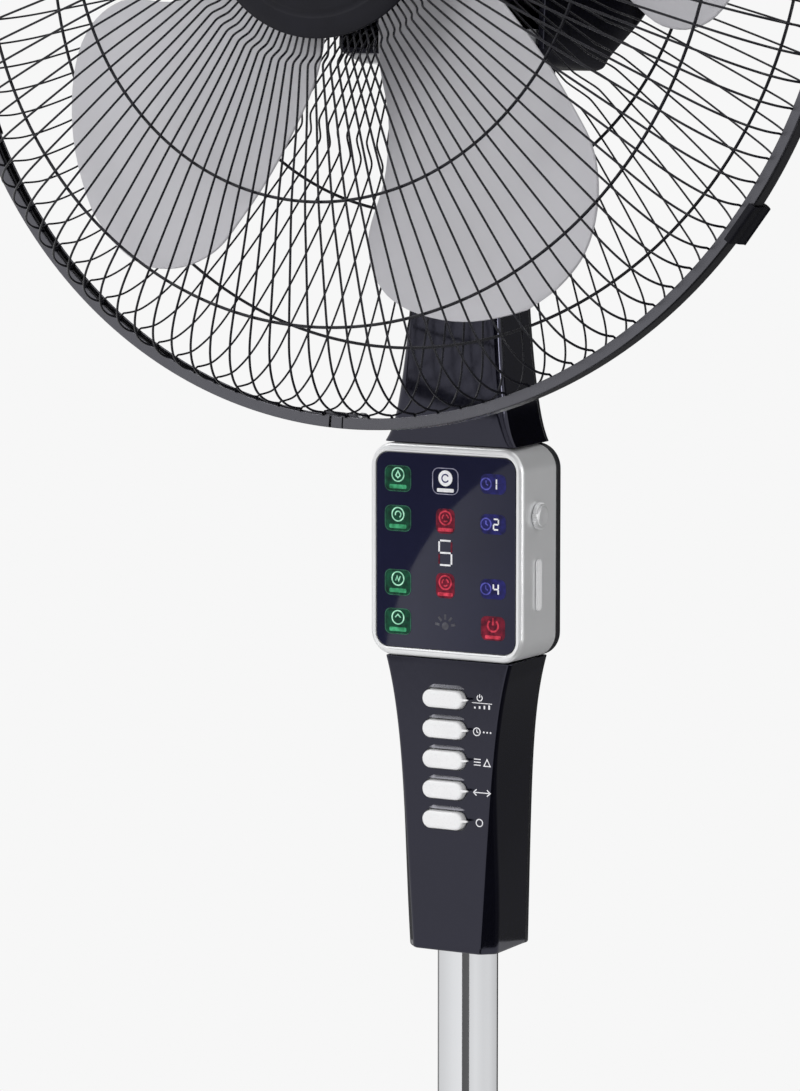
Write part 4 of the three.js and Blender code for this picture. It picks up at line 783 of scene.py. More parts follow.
def build_neck():
    low, high = box("neck_front")
    levels = column_levels(low.z, high.z, 0.4, 1.2, 40)
    shell = loft([front_loop(neck_section, z, 4.2, i) for z, i in levels])
    add_piece("neck_shell", shell, "column", "gloss_black", "gloss", "neck_front", angle=30)
    back = loft([back_loop(neck_section, z, 2.6, i) for z, i in levels])
    add_piece("neck_rear", back, "column", "satin_black", "satin", "neck_back", angle=30)


# ---------------------------------------------------------------- tilt joint and swing yoke
TONGUE = 12.7
TONGUE_TOP = 18
EAR_RADIUS = 12


def tongue_outline(inset):
    r = EAR_RADIUS - inset
    return arc(r, 180, 360, 32) + [(r, TONGUE_TOP - inset), (-r, TONGUE_TOP - inset)]


def build_tilt():
    low, high = box("tilt_knob")
    along = shift(0, 0, middle("tilt_knob").z) @ SIDEWAYS
    grip = new_piece("tilt_grip", moved(knob(high.y, 2.2, low.x, high.x, 2.0), along))
    combine(grip, moved(peg(SCREW_HOLE, low.x - 5, high.x - 3.7), along), angle=50)
    finish_piece(grip, "tilt_knob", "satin_black", "satin", "tilt_knob")

    _, high = extent("tilt_yoke", PIVOT)
    foot, flange_low, flange_high, collar = 14, 51.5, 54.5, 13.2
    boss = rounded([
        (0, foot, 0), (15.7, foot, 2), (15.7, flange_low, 2.5), (high.x, flange_low, 0.8),
        (high.x, flange_high, 0.8), (collar, flange_high, 1), (collar, high.z, 0.8), (0, high.z, 0)],
        0, closed=False)
    yoke = new_piece("yoke", moved(turned(boss, 96, False), PIVOT))
    crossways = PIVOT @ SIDEWAYS
    combine(yoke, moved(slab(tongue_outline, edges(-TONGUE, TONGUE, 0.8, 0.8)), crossways), "UNION")
    combine(yoke, moved(peg(SCREW_HOLE, -40, 40, 40), crossways))
    combine(yoke, moved(peg(10.2, TONGUE_TOP - FIT, 80, 64, turned), PIVOT))
    finish_piece(yoke, "yoke", "satin_black", "satin", "tilt_yoke")


# ---------------------------------------------------------------- motor cover
COVER_FRONT, COVER_SHOULDER, COVER_END = 61, 119, 190
COVER_HALF_WIDTH, COVER_DROP, COVER_RISE = 51, 61.5, 54
COVER_END_ROUND = 8
MOTOR_WALL = 2.5
VENTS = ((132, 30), (139, 29), (146, 27), (153, 25), (160, 22))      # place along the fan axis, length


def cover_outline(a, inset):
    """The motor cover's section at a distance behind the rim."""
    t = max(0.0, (a - COVER_SHOULDER) / (COVER_END - COVER_SHOULDER))
    lift = max(0.0, 3.5 * (1 - (a - COVER_FRONT) / 15))
    width = COVER_HALF_WIDTH * sqrt(1 - 0.5 * t ** 2) - inset
    drop = COVER_DROP * (1 - 0.56 * t ** 0.75) - lift - inset
    rise = COVER_RISE * (1 - 0.7 * t ** 2.2) - inset
    r = max(4 - inset, 1)
    corner = [radians(90 * k / 6) for k in range(7)]
    right = [(width - r + r * sin(u), -drop + r - r * cos(u)) for u in corner]
    arch = [radians(180 * k / 48) for k in range(49)]
    over = [(width * cos(u), rise * (0.15 + 0.85 * sin(u))) for u in arch]
    left = [(-x, z) for x, z in reversed(right)]
    return [(x, a, z) for x, z in right + over + left]


def cover_stations():
    """Distances behind the rim and insets of the cover's outer skin."""
    start, stop, r = COVER_SHOULDER - 30, COVER_END - COVER_END_ROUND, COVER_END_ROUND
    run = [COVER_FRONT + 1.2 + 15 * k / 6 for k in range(7)] + [85]
    run += [start + (COVER_END - start) * k / 40 for k in range(1, 41)]
    end = [(stop + r * sin(t), r * (1 - cos(t))) for t in quarter_turn(8)[1:]]
    return [(COVER_FRONT, 0.9), (COVER_FRONT + 0.35, 0.25), *((a, 0) for a in run if a < stop), *end]


def build_motor_cover():
    stations = cover_stations()
    lining = [(a, MOTOR_WALL + inset) for a, inset in stations if a < COVER_END - MOTOR_WALL - 0.5]
    lining[0] = (COVER_FRONT, MOTOR_WALL)
    loops = [cover_outline(a, inset) for a, inset in [*reversed(stations), *lining]]
    cover = new_piece("cover", moved(loft(loops), FAN))

    # Ovals round the swing yoke's axis, or round the pinion's.
    pivot = (0, -(PIVOT.inverted() @ FAN.translation).y)
    pinion = sum(extent("swing_pinion", FAN), Vector()) / 2
    oval = [radians(360 * k / 96) for k in range(96)]

    def ellipse(width, depth, z, at=pivot):
        return [(at[0] + width * cos(t), at[1] + depth * sin(t), z) for t in oval]

    # The skirt below the cover.
    floor, bottom = MOTOR_WALL - COVER_DROP, extent("motor_cover", FAN)[0].z
    skirt = [ellipse(36.2, 30, bottom), ellipse(36.6, 30.4, bottom + 0.6), ellipse(36.6, 30.4, floor),
             ellipse(35, 28.8, floor), ellipse(35, 28.8, bottom + 0.4), ellipse(35.2, 29, bottom)]
    combine(cover, moved(loft(skirt, ring=True), FAN), "UNION")

    # The vent slots and the rear screw's hole, then the floor's openings for the yoke and the pinion's shaft.
    slots = []
    for a, span in VENTS:
        for side in (-1, 1):
            place = shift(side * 30, a, 2) @ Matrix.Rotation(side * pi / 2, 4, "Z")
            upright = place @ Matrix.Rotation(pi / 2, 4, "Y")
            slots.append(moved(slab(rectangle(span, 2.6, 1.3, 5), [(-30, 0), (30, 0)]), upright))
    hole = peg(2.9, COVER_END - 20, COVER_END + 10)
    combine(cover, moved(joined(hole, *slots), FAN), angle=30)
    heights = (floor - 8, floor + 4)
    post = loft([ellipse(9, 9, z) for z in heights])
    shaft = loft([ellipse(3.5, 3.5, z, pinion) for z in heights])
    combine(cover, moved(joined(post, shaft), FAN), angle=30)
    finish_piece(cover, "head", "gloss_black", "gloss", "motor_cover")


def build_vent_shade_sleeve():
    """A dark sleeve behind the cover's vent slots: painted shade that keeps light from showing through the slots."""
    front, back, near = COVER_SHOULDER + 7, COVER_END - 23, MOTOR_WALL + 0.8
    far = near + 0.8
    ring = [cover_outline(*place) for place in ((front, near), (back, near), (back, far), (front, far))]
    add_piece("vent_shade_sleeve", moved(loft(ring, ring=True), FAN), "head", "satin_black", "rubber")


# ---------------------------------------------------------------- blades
HUB_RADIUS, HUB_FRONT, HUB_BACK = 34, -27, 16
BLADE_COUNT = 5
BLADE_START = -132.2
BLADE_THICKNESS = 2.2
BLADE_DEPTH = -7.5        # where a blade's middle line stands behind the rim's front
BLADE_PITCH = 38.8        # how far a blade comes forward per radian, at the radius BLADE_MEAN
BLADE_TWIST, BLADE_MEAN = 0.21, 120
BLADE_EDGE = 1.2
# Radius and angle, in degrees, of the points on a blade's two edges.
LEADING = [(28, 36), (61, 39), (100, 31), (137, 24.3), (158, 20.7), (174, 15), (183.5, 8.8), (186.6, 3)]
TRAILING = [(28, -31), (61, -30), (85, -25.6), (110, -27), (140, -31.7), (163, -27.3), (178, -15.5), (186.6, -3)]


def blade():
    """One leaf-shaped blade along local X; its pitch makes the leading edge stand forward."""
    leading, trailing = smooth(LEADING, 7), smooth(TRAILING, 7)
    loops = []
    for i, (front, back) in enumerate(zip(leading, trailing), 1):
        chord = max((front.y - back.y) * radians(1) * front.x, 4)
        thin = {len(leading): 0.3, len(leading) - 1: 0.8}.get(i, 1)
        edge = [(d / chord, sqrt(max(0, 1 - (1 - d / BLADE_EDGE) ** 2))) for d in (0, 0.25, 0.6, BLADE_EDGE)]
        flat = [(0.5 - 0.46 * cos(pi * k / 12), 1) for k in range(13)]
        side = edge + flat + [(1 - v, h) for v, h in reversed(edge)]
        loop = []
        for half, row in ((BLADE_THICKNESS / 2, side), (-BLADE_THICKNESS / 2, side[-2:0:-1])):
            for v, h in row:
                r, angle = front.lerp(back, v)
                t = radians(angle)
                travel = BLADE_PITCH * t * (1 + BLADE_TWIST * (r - BLADE_MEAN) / 100)
                loop.append((r * cos(t), BLADE_DEPTH - travel + half * h * thin, r * sin(t)))
        loops.append(loop)
    return loft(loops)


def build_fluted(name, node, body, shape, at, radius, stop, count, segments):
    """A nut with flutes cut along its side, from its front to a distance before its back."""
    low, high = extent(node, FAN)
    nut = new_piece(name, moved(shape, FAN))
    flute = peg(radius, low.y - 5, high.y - stop, segments)
    flutes = [moved(flute, turn_fan(360 / count * k) @ shift(at, 0, 0)) for k in range(count)]
    combine(nut, moved(joined(*flutes), FAN), angle=40)
    finish_piece(nut, body, "satin_black", "satin", node)


def build_rotor():
    inside = HUB_FRONT + 3.2
    profile = [
        (SCREW_HOLE, HUB_FRONT), (HUB_RADIUS, HUB_FRONT, 4), (HUB_RADIUS, HUB_BACK, 1.2),
        (HUB_RADIUS - 2, HUB_BACK, 0.3), (HUB_RADIUS - 2.4, inside, 2.5), (15, inside, 1), (15, HUB_BACK + 8, 1),
        (SCREW_HOLE, HUB_BACK + 8)]
    hub = new_piece("rotor", moved(spun(rounded(profile, 0), 128), FAN))
    turns = [turn_fan(BLADE_START + 360 * k / BLADE_COUNT) for k in range(BLADE_COUNT)]
    room = [(15.02, HUB_FRONT + 3.25), (31.5, HUB_FRONT + 3.25), (31.9, HUB_BACK + 4), (15.02, HUB_BACK + 4)]
    web = slab(rectangle(17.5, 1.8, 0.2, 1), [(HUB_FRONT + 3, 0), (HUB_BACK - 4, 0)], (23.6, 0))
    slot = slab(rectangle(24.6, 3.6, 0.3, 2), [(18.7, 0), (30, 0)])
    for shape, operation in (
            (joined(*(moved(blade(), turn) for turn in turns)), "UNION"), (spun(room), "DIFFERENCE"),
            (joined(*(moved(web, turn_fan(60 * k + 30)) for k in range(6))), "UNION"), (slot, "DIFFERENCE")):
        combine(hub, moved(shape, FAN), operation, 40)
    finish_piece(hub, "rotor", "blade", "blade", "blade_rotor")

    low, high = extent("blade_nut", FAN)
    bore_end = -32.3
    nut = rounded([
        (0, low.y, 0), (9, low.y, 3), (15, low.y + 4, 2), (15, high.y, 0.6), (SCREW_HOLE, high.y, 0),
        (SCREW_HOLE, bore_end, 0), (0, bore_end, 0)], 0, closed=False)
    build_fluted("spinner", "blade_nut", "rotor", spun(nut, 96, False), 15.6, 1.6, 1.5, 8, 16)


# ---------------------------------------------------------------- guards
RIM_RADIUS, RIM_DEPTH, RIM_WALL, RIM_LIP = 220, 8.4, 1.4, 5
WIRES = 120
RING_WIRE = 0.68
RING_RADIUS = 217.1
BADGE_RADIUS = 57.5
# For each guard: the angle of its first wire, the wire's radius, the depth of its outer ring, its other rings as
# (radius, depth), and the wire's run as (radius, depth).
GUARDS = {
    "front": (1.78, 0.52, 2.7, ((177, -32.1), (125, -40.1)), [
        (213.9, 2.2), (213.6, -4), (212.2, -11), (208, -19.5), (200, -26.6), (190, -31), (177, -33.7), (150, -38),
        (125, -41.7), (90, -44), (72, -45.4), (68.8, -45.4), (67.6, -44.6), (65, -41.6), (63.6, -40.9), (60, -40.4),
        (53, -39.9)]),
    "rear": (1.0, 0.45, 5.7, ((185, 33.6), (127.3, 48.7)), [
        (213.9, 6.2), (213.4, 11), (211.6, 18), (206, 25), (198, 30.5), (185, 35.2), (160, 43), (127.3, 50.3),
        (113, 52.6), (110, 52.4), (108, 51.1), (102, 44.8), (100, 43.4), (97, 43.1), (80, 43.1), (60, 43.1),
        (56.6, 44.4), (51, 54.2), (47, 55.7)]),
}


def hoop(radius, a):
    """A ring of round wire about the fan axis."""
    wire = [(radius + RING_WIRE * cos(t), a + RING_WIRE * sin(t)) for t in circle_angles(12)]
    return spun(wire, 240)


def build_guard(side):
    """All the radial wires of a guard, each with its end bent to the outer ring, and the guard's rings."""
    start, radius, outer, rings, profile = GUARDS[side]
    path = [Vector((r, outer, 0)) for r in (RING_RADIUS + 0.6, RING_RADIUS - 1.6)]
    path += smooth([Vector((r, a, 0)) for r, a in profile], 4)[1:]
    wire = tube(path, radius, Vector((0, 0, 1)))
    wires = [moved(wire, turn_fan(start + 360 * k / WIRES)) for k in range(WIRES)]
    guard = joined(*wires, *(hoop(*ring) for ring in ((RING_RADIUS, outer), *rings)))
    add_piece(f"{side}_guard_wires", moved(guard, FAN), "head", "wire", "wire", f"{side}_guard", angle=60)


def build_guards():
    build_guard("front")
    plate = spun(rounded([(0, -41, 0), (56, -41), (56, -39), (0, -39, 0)], 0.5, closed=False), 128, False)
    add_piece("front_guard_plate", moved(plate, FAN), "head", "wire", "satin")
    build_guard("rear")
    front, back = 54.5, 57
    ring = rounded([
        (18.9, front, 0.2), (24, front, 0.4), (26, 54.9), (40, 54.9), (42, front), (50, front), (50, back),
        (18.9, back, 0.2)], 0.5)
    add_piece("rear_guard_plate", moved(spun(ring, 128), FAN), "head", "wire", "satin")

    low, high = extent("guard_nut", FAN)
    nut = rounded([
        (18.3, low.y, 0.3), (29, low.y, 1.5), (33, low.y + 3, 1), (33, high.y, 0.5), (18.3, high.y, 0.2)], 0)
    build_fluted("nut", "guard_nut", "head", spun(nut), 33.8, 2.2, 1.2, 12, 20)

    low, high = extent("guard_badge", FAN)
    front, step = low.y, high.y - 0.8
    face = [
        (0, front), (20, front + 0.15), (38, front + 0.75), (46, front + 1.4), (47.2, front + 2.1, 0.6),
        (48.6, front + 2.1, 0.6), (49.4, front + 1.9, 0.4), (54.5, front + 2.6, 3), (BADGE_RADIUS, front + 4.2, 1.5),
        (BADGE_RADIUS, step, 0.3), (BADGE_RADIUS - 4, step, 0), (BADGE_RADIUS - 4, high.y, 0), (0, high.y)]
    badge = spun(rounded(face, 8, closed=False), 160, False)
    add_piece("guard_disc", moved(badge, FAN), "head", "satin_black", "badge", "guard_badge")


# ---------------------------------------------------------------- clamp band and clips
SPLIT_ANGLE, SPLIT_WIDTH, GROOVE_ANGLE = -93, 1.2, -91.4
LUG_LENGTH, LUG_WIDTH, LUG_HEIGHT = 7, 7.2, 6.4
CLIP_ANGLES = (-35.6, 84.4, 204.4)
CLIP_HALF = 9.2
PIN_PLACE = (RIM_RADIUS - 1, RIM_DEPTH + 3.2, 0)


def prism(points, low, high, radius=0.4):
    """An outline in the fan's X and depth, given thickness along its Z."""
    outline = rounded(points, radius)
    return loft([[(x, a, z) for x, a in outline] for z in (low, high)])


def block(left, right, front, back, half):
    return prism([(left, front), (right, front), (right, back), (left, back)], -half, half, 0)


def build_rim():
    lip, wall, inner_lip = RIM_RADIUS - RIM_LIP, RIM_RADIUS - RIM_WALL, RIM_DEPTH - 1.2
    profile = rounded([
        (lip, 0, 0.5), (RIM_RADIUS, 0, 1.2), (RIM_RADIUS, RIM_DEPTH, 1.2), (lip, RIM_DEPTH, 0.5),
        (lip, inner_lip, 0.4), (wall, inner_lip, 0.4), (wall, 1.2, 0.4), (lip, 1.2, 0.4)], 0)
    gap = degrees(SPLIT_WIDTH / 2 / RIM_RADIUS)
    start, stop, steps = SPLIT_ANGLE + gap, SPLIT_ANGLE + 360 - gap, 300
    turns = [radians(start + (stop - start) * k / steps) for k in range(steps + 1)]
    band = loft([[(r * cos(t), a, r * sin(t)) for r, a in profile] for t in turns])
    band = new_piece("rim", moved(band, FAN), 30)

    at_split = turn_fan(SPLIT_ANGLE)
    outer, inner = RIM_RADIUS - 0.4, RIM_RADIUS - LUG_HEIGHT
    back = RIM_DEPTH + LUG_WIDTH
    lug = [(inner, RIM_DEPTH - 1, 0), (outer, RIM_DEPTH - 1, 0), (outer, back, 1.6), (inner, back, 3)]
    starts = (SPLIT_WIDTH / 2, -SPLIT_WIDTH / 2 - LUG_LENGTH)
    lugs = [moved(prism(lug, low, low + LUG_LENGTH), at_split) for low in starts]
    web = block(RIM_RADIUS - 1.9, RIM_RADIUS - 0.4, RIM_DEPTH - 0.6, PIN_PLACE[1], CLIP_HALF)
    pin = moved(peg(1.5, -CLIP_HALF, CLIP_HALF, 24, turned), shift(*PIN_PLACE))
    webs, pins = [[moved(part, turn_fan(angle)) for angle in CLIP_ANGLES] for part in (web, pin)]
    combine(band, moved(joined(*lugs, *webs), FAN), "UNION", 30)
    combine(band, moved(joined(*pins), FAN), "UNION", 30)
    screw = shift(RIM_RADIUS - 4, RIM_DEPTH + 3.7, 0)
    combine(band, moved(peg(2, -14, 14, 24, turned), FAN @ at_split @ screw), angle=30)
    groove = block(RIM_RADIUS - 7, RIM_RADIUS + 1, -1, 0.9, 0.35)
    combine(band, moved(groove, FAN @ turn_fan(GROOVE_ANGLE)), angle=30)
    finish_piece(band, "head", "band", "band", "guard_rim")


def build_clips():
    """Each clip is an open eye round its pin, a back and a hook over the rim's front."""
    eye_inner, eye_outer, low, high = 1.8, 2.7, 1.3, 2.2
    hook_back = -PIN_PLACE[1] - FIT
    hook_front = hook_back - 1.5
    outer = [radians(180 - 171 * k / 18) for k in range(19)]
    inner = [radians(-43.8 + 223.8 * k / 22) for k in range(23)]
    outline = [(eye_outer * cos(t), eye_outer * sin(t), 0) for t in outer]
    outline += [(high, 0.5, 0.4), (high, -5, 3), (high - 0.4, -7, 3), (high, -9, 3), (high, hook_front, 1.4),
                (-1.2, hook_front, 0.5), (-0.9, hook_back, 0.4), (low, hook_back, 0.6)]
    outline += [(eye_inner * cos(t), eye_inner * sin(t), 0) for t in inner]
    shape = prism(outline, -CLIP_HALF, CLIP_HALF)
    for number, angle in enumerate(CLIP_ANGLES, 1):
        clip = new_piece(f"clip_{number}", moved(shape, FAN @ (turn_fan(angle) @ shift(*PIN_PLACE))))
        edge = clip.modifiers.new("edge", "BEVEL")
        edge.width = 0.3 * MM
        edge.segments = 2
        edge.limit_method = "ANGLE"
        edge.angle_limit = radians(50)
        edge.harden_normals = False
        apply_modifiers(clip)
        shade(clip.data, 30)
        finish_piece(clip, f"rim_clip_{number}", "satin_black", "badge", f"rim_clip_{number}")


# ---------------------------------------------------------------- marks behind the glass and beside the buttons
class Inks:
    """Flat marks gathered by colour on one face, then made into one piece for each colour."""

    def __init__(self, face, origin):
        self.face, self.origin, self.shapes = face, origin, {}

    def put(self, ink, shape, at):
        place = shift(self.origin[0] + at[0], 0, self.origin[1] + at[1])
        self.shapes.setdefault(ink, []).append(moved(shape, place))

    def stroke(self, ink, path, width, at=(0, 0), closed=False, rise=0.10):
        self.put(ink, ribbon(path, width, self.face - rise, self.face + 0.02, closed), at)

    def fill(self, ink, points, at=(0, 0), rise=0.06):
        self.put(ink, loft([layer(points, y) for y in (self.face - rise, self.face + 0.02)]), at)

    def caption(self, ink, width, height, corner, at, drop, rise=0.12):
        """A plain bar below a mark, in place of a word."""
        self.fill(ink, rectangle(width, height, corner, 3)(), (at[0], at[1] - drop), rise)

    def make(self, prefix):
        for ink, shapes in self.shapes.items():
            add_piece(f"{prefix}_{ink}", joined(*shapes), "column", None, f"ink_{ink}", angle=30)


SEGMENTS = {"a": ((-1, 2), (1, 2)), "b": ((1, 2), (1, 0)), "c": ((1, 0), (1, -2)), "d": ((1, -2), (-1, -2)),
            "e": ((-1, -2), (-1, 0)), "f": ((-1, 0), (-1, 2)), "g": ((-1, 0), (1, 0))}
LIT = {1: "bc", 2: "abged", 4: "fgbc", 5: "afgcd"}


def numeral(inks, ink, digit, at, width, height, stroke, dim=None):
    """A seven-segment numeral; its unlit segments are drawn in the dim ink, if there is one."""
    for name, ends in SEGMENTS.items():
        colour = ink if name in LIT[digit] else dim
        if colour:
            a, b = [Vector((x * width / 2, z * height / 4)) for x, z in ends]
            gap = (b - a).normalized() * stroke * (0.55 if dim else 0.15)
            inks.stroke(colour, [tuple(a + gap), tuple(b - gap)], stroke, at)


LEFT, CENTRE, RIGHT = -24, 0, 24
ROWS = (31.6, 14, -14.5, -31.8)
GREEN_GLYPHS = (
    [(0, 3.3), (1.1, 1.3), (0, 0.3), (-1.1, 1.3)], arc(1.4, -60, 200, 12, (0.1, 1.7)),
    [(-1.2, 0.7), (-0.4, 2.7), (0.4, 0.7), (1.2, 2.7)], [(-1.4, 1.7), (0, 3), (1.4, 1.7)])


def build_display_marks():
    low, high = box("display_lens")
    inks = Inks(low.y, (0, (low.z + high.z) / 2))
    tile, glyph_ring = rectangle(13.6, 11.8, 3, 5), circle(3.0, (0, 1.7), 32)
    for number, z in enumerate(ROWS):
        at = (LEFT, z)
        inks.stroke("green_dim", tile(0.3), 0.34, at, True, 0.14)
        inks.fill("green_deep", tile(0.5), at)
        inks.stroke("green_pale", glyph_ring, 0.55, at, True, 0.14)
        inks.stroke("green_pale", GREEN_GLYPHS[number], 0.55, at, number == 0, 0.16)
        inks.caption("green", 8.6, 1.8, 0.5, at, 3.6, 0.14)

    at = (CENTRE, ROWS[0])
    inks.stroke("lilac", rectangle(13.4, 12, 3.2, 5)(0.3), 0.35, at, True, 0.14)
    inks.fill("white", circle(3.5, (0, 1.3), 36), at, 0.12)
    inks.stroke("blue_deep", arc(1.7, 30, 330, 14, (0, 1.3)), 0.6, at, rise=0.16)
    inks.caption("white", 8.4, 1.6, 0.4, at, 4)

    for z in ROWS[1:3]:
        at = (CENTRE, z)
        inks.fill("red_deep", rectangle(9.4, 11, 2.6, 5)(), at)
        inks.stroke("red", circle(3.0, (0, 1.4), 32), 0.7, at, True, 0.12)
        for turn in (0, 120, 240):
            inks.stroke("red", arc(1.5, turn, turn + 75, 8, (0, 1.4)), 0.6, at, rise=0.14)
        inks.caption("red", 7.6, 1.5, 0.4, at, 3.8)
    numeral(inks, "white", 5, (CENTRE, 0), 6.2, 10.8, 0.8, "red_deep")

    at, hub = (CENTRE, ROWS[3]), Vector((0, -0.6))
    inks.fill("grey", circle(1.7, hub), at)
    for turn in (10, 50, 90, 130, 170):
        ray = Vector((cos(radians(turn)), sin(radians(turn))))
        inks.stroke("grey", [tuple(ray * 2.9 + hub), tuple(ray * 5.2 + hub)], 1.1, at)

    for digit, z in zip((1, 2, 4), ROWS):
        at = (RIGHT, z)
        inks.fill("blue_deep", rectangle(12.8, 8.8, 3, 5)(), at)
        inks.stroke("blue", circle(2.5, (-3.6, 0), 28), 0.6, at, True, 0.12)
        inks.stroke("blue", [(-3.6, 1.5), (-3.6, 0), (-2.6, -0.6)], 0.5, at, rise=0.12)
        numeral(inks, "white", digit, (RIGHT + (0.4 if digit == 1 else 1.4), z), 2.4, 4.6, 0.7)
    at = (RIGHT, ROWS[3])
    inks.fill("red_deep", rectangle(12, 10.6, 2.6, 5)(), at)
    inks.stroke("red", arc(2.6, 130, 410, 20, (0, 1.2)), 0.8, at, rise=0.12)
    inks.stroke("red", [(0, 1.4), (0, 4.5)], 0.8, at, rise=0.12)
    inks.caption("red", 7.8, 1.5, 0.4, at, 3.9)
    inks.make("display_mark")


# Beside each button: strokes as (path, width, closed), or filled shapes, which have no width.
BUTTON_MARKS = (
    [(arc(1.3, 125, 415, 16, (-1.2, 1.6)), 0.42, False), ([(-1.2, 1.7), (-1.2, 3.3)], 0.42, False),
     ([(-5, -0.7), (5.0, -0.7)], 0.3, False),
     *(([(-3.6 + 2.4 * k, -3.2), (-3.6 + 2.4 * k, -2.4 + 0.35 * k)], 0.8, False) for k in range(4))],
    [(circle(1.7, (-2.6, 0)), 0.42, True), ([(-2.6, 1.0), (-2.6, 0), (-1.8, -0.5)], 0.4, False),
     *((circle(0.42, (0.9 + 1.7 * k, 0), 12), None, True) for k in range(3))],
    [*(([(-4, 1.3 - 1.3 * k), (-0.6, 1.3 - 1.3 * k)], 0.42, False) for k in range(3)),
     ([(1.0, -1.5), (2.6, 1.5), (4.2, -1.5)], 0.45, True)],
    [([(-4, 0), (4, 0)], 0.42, False),
     *(([(side * 2.6, 1.4), (side * 4.2, 0), (side * 2.6, -1.4)], 0.45, False) for side in (-1, 1))],
    [(circle(1.6, (-1.2, 0)), 0.45, True)],
)


def build_button_marks():
    for number, marks in zip(BUTTONS, BUTTON_MARKS):
        # The white print beside each button takes the glowing white ink: a painted glow, since no lamp lies behind
        # it.
        inks = Inks(COLUMN_FACE, (17.6, middle(f"button_{number}").z))
        for path, width, closed in marks:
            if width:
                inks.stroke("white", path, width, closed=closed)
            else:
                inks.fill("white", path)
        inks.make(f"button_mark_{number}")


# ---------------------------------------------------------------- CAD pieces that stay as they are
CAD_LOOKS = {
    "rubber": ["base_pad"],
    "iron": ["base_weight"],
    "steel": ["base_bolt", "tilt_nut", "tilt_screw", "swing_motor", "cover_screw", "rim_screw", "motor_shaft",
              "drive_pin"],
    "nylon": ["pole_guide", "swing_sector", "swing_pinion"],
    "board": ["button_board", "display_board"],
    "satin": ["column_core"],
    "bronze": ["swing_bush", "bearing_front", "bearing_rear"],
    "shield": ["pivot_block", "motor_front_shield", "motor_rear_shield"],
    "laminated": ["stator_core", "rotor_core"],
    "copper": ["stator_winding"],
    "white": ["capacitor"],
}


def dress_cad_nodes():
    for look, names in CAD_LOOKS.items():
        for name in names:
            materials = frame["nodes"][name].data.materials
            materials.clear()
            materials.append(LOOKS[look])


# ---------------------------------------------------------------- stage and light
BACKGROUND = 0.93
WORLD_LIGHT = 0.52
LAMP_TARGET = Vector((0, 0, 0.8))
FLOOR_TONES = (0.85, 0.85, 0.85), (0.88, 0.88, 0.88)
FLOOR_RINGS, FLOOR_SIDES = (400, 1200, 60000), 128
FLOOR_HEIGHT = -0.05
FLOOR_FADE = (0.9, 1.7)       # metres from the pole, where the floor turns into the plain background


def plain_rays(look):
    """1 for the rays that see the background as it is: from the camera, a gloss or a clear piece."""
    path = add_node(look, "LightPath").outputs
    plain = path["Is Camera Ray"]
    for ray in ("Is Glossy Ray", "Is Transmission Ray"):
        plain = add_node(look, "Math", {0: plain, 1: path[ray]}, operation="MAXIMUM").outputs[0]
    return plain


def show(look, surface, kind="Material"):
    look.node_tree.links.new(surface, look.node_tree.nodes[kind + " Output"].inputs["Surface"])


def build_floor():
    mesh = bpy.data.meshes.new("floor")
    verts = [(0, 0, FLOOR_HEIGHT * MM)]
    for r in FLOOR_RINGS:
        verts += [(r * cos(t) * MM, r * sin(t) * MM, FLOOR_HEIGHT * MM) for t in circle_angles(FLOOR_SIDES)]
    beside = [(k, (k + 1) % FLOOR_SIDES) for k in range(FLOOR_SIDES)]
    faces = [(0, 1 + k, 1 + n) for k, n in beside]
    for a in (1, 1 + FLOOR_SIDES):
        b = a + FLOOR_SIDES
        faces += [(a + k, b + k, b + n, a + n) for k, n in beside]
    mesh.from_pydata(verts, [], faces)

    look, shader, place = new_look("floor", Roughness=0.9, Specular_IOR_Level=0.1)
    connect(look, shader, ramp(look, noise(look, place, 3), *FLOOR_TONES))
    distance = add_node(look, "VectorMath", {0: place}, operation="LENGTH").outputs["Value"]
    limits = {"Value": distance, "From Min": FLOOR_FADE[0], "From Max": FLOOR_FADE[1]}
    far = add_node(look, "MapRange", limits, interpolation_type="SMOOTHSTEP").outputs["Result"]
    share = add_node(look, "Math", {0: far, 1: plain_rays(look)}, operation="MULTIPLY").outputs[0]
    glow = add_node(look, "Emission", {"Color": (1, 1, 1, 1), "Strength": BACKGROUND}).outputs["Emission"]
    show(look, add_node(look, "MixShader", {0: share, 1: shader.outputs["BSDF"], 2: glow}).outputs["Shader"])
    mesh.materials.append(look)
    new_object("floor", mesh)


def build_world():
    world = bpy.data.worlds.new("world")
    bpy.context.scene.world = world
    world.use_nodes = True
    soft = world.node_tree.nodes["Background"]
    plain = add_node(world, "Background")
    for node, strength in ((soft, WORLD_LIGHT), (plain, BACKGROUND)):
        node.inputs["Color"].default_value = (1, 1, 1, 1)
        node.inputs["Strength"].default_value = strength
    mix = add_node(world, "MixShader", {0: plain_rays(world), 1: soft.outputs[0], 2: plain.outputs[0]})
    show(world, mix.outputs[0], "World")


def add_lamp(name, place, size, power):
    """A soft lamp, aimed at the middle of the fan, that no camera or gloss sees."""
    data = bpy.data.lights.new(name, "AREA")
    data.shape = "RECTANGLE"
    data.size, data.size_y = size
    data.energy = power
    lamp = new_object(name, data)
    lamp.location = place
    lamp.rotation_euler = (LAMP_TARGET - Vector(place)).to_track_quat("-Z", "Y").to_euler()
    lamp.visible_glossy = False
    lamp.visible_camera = False


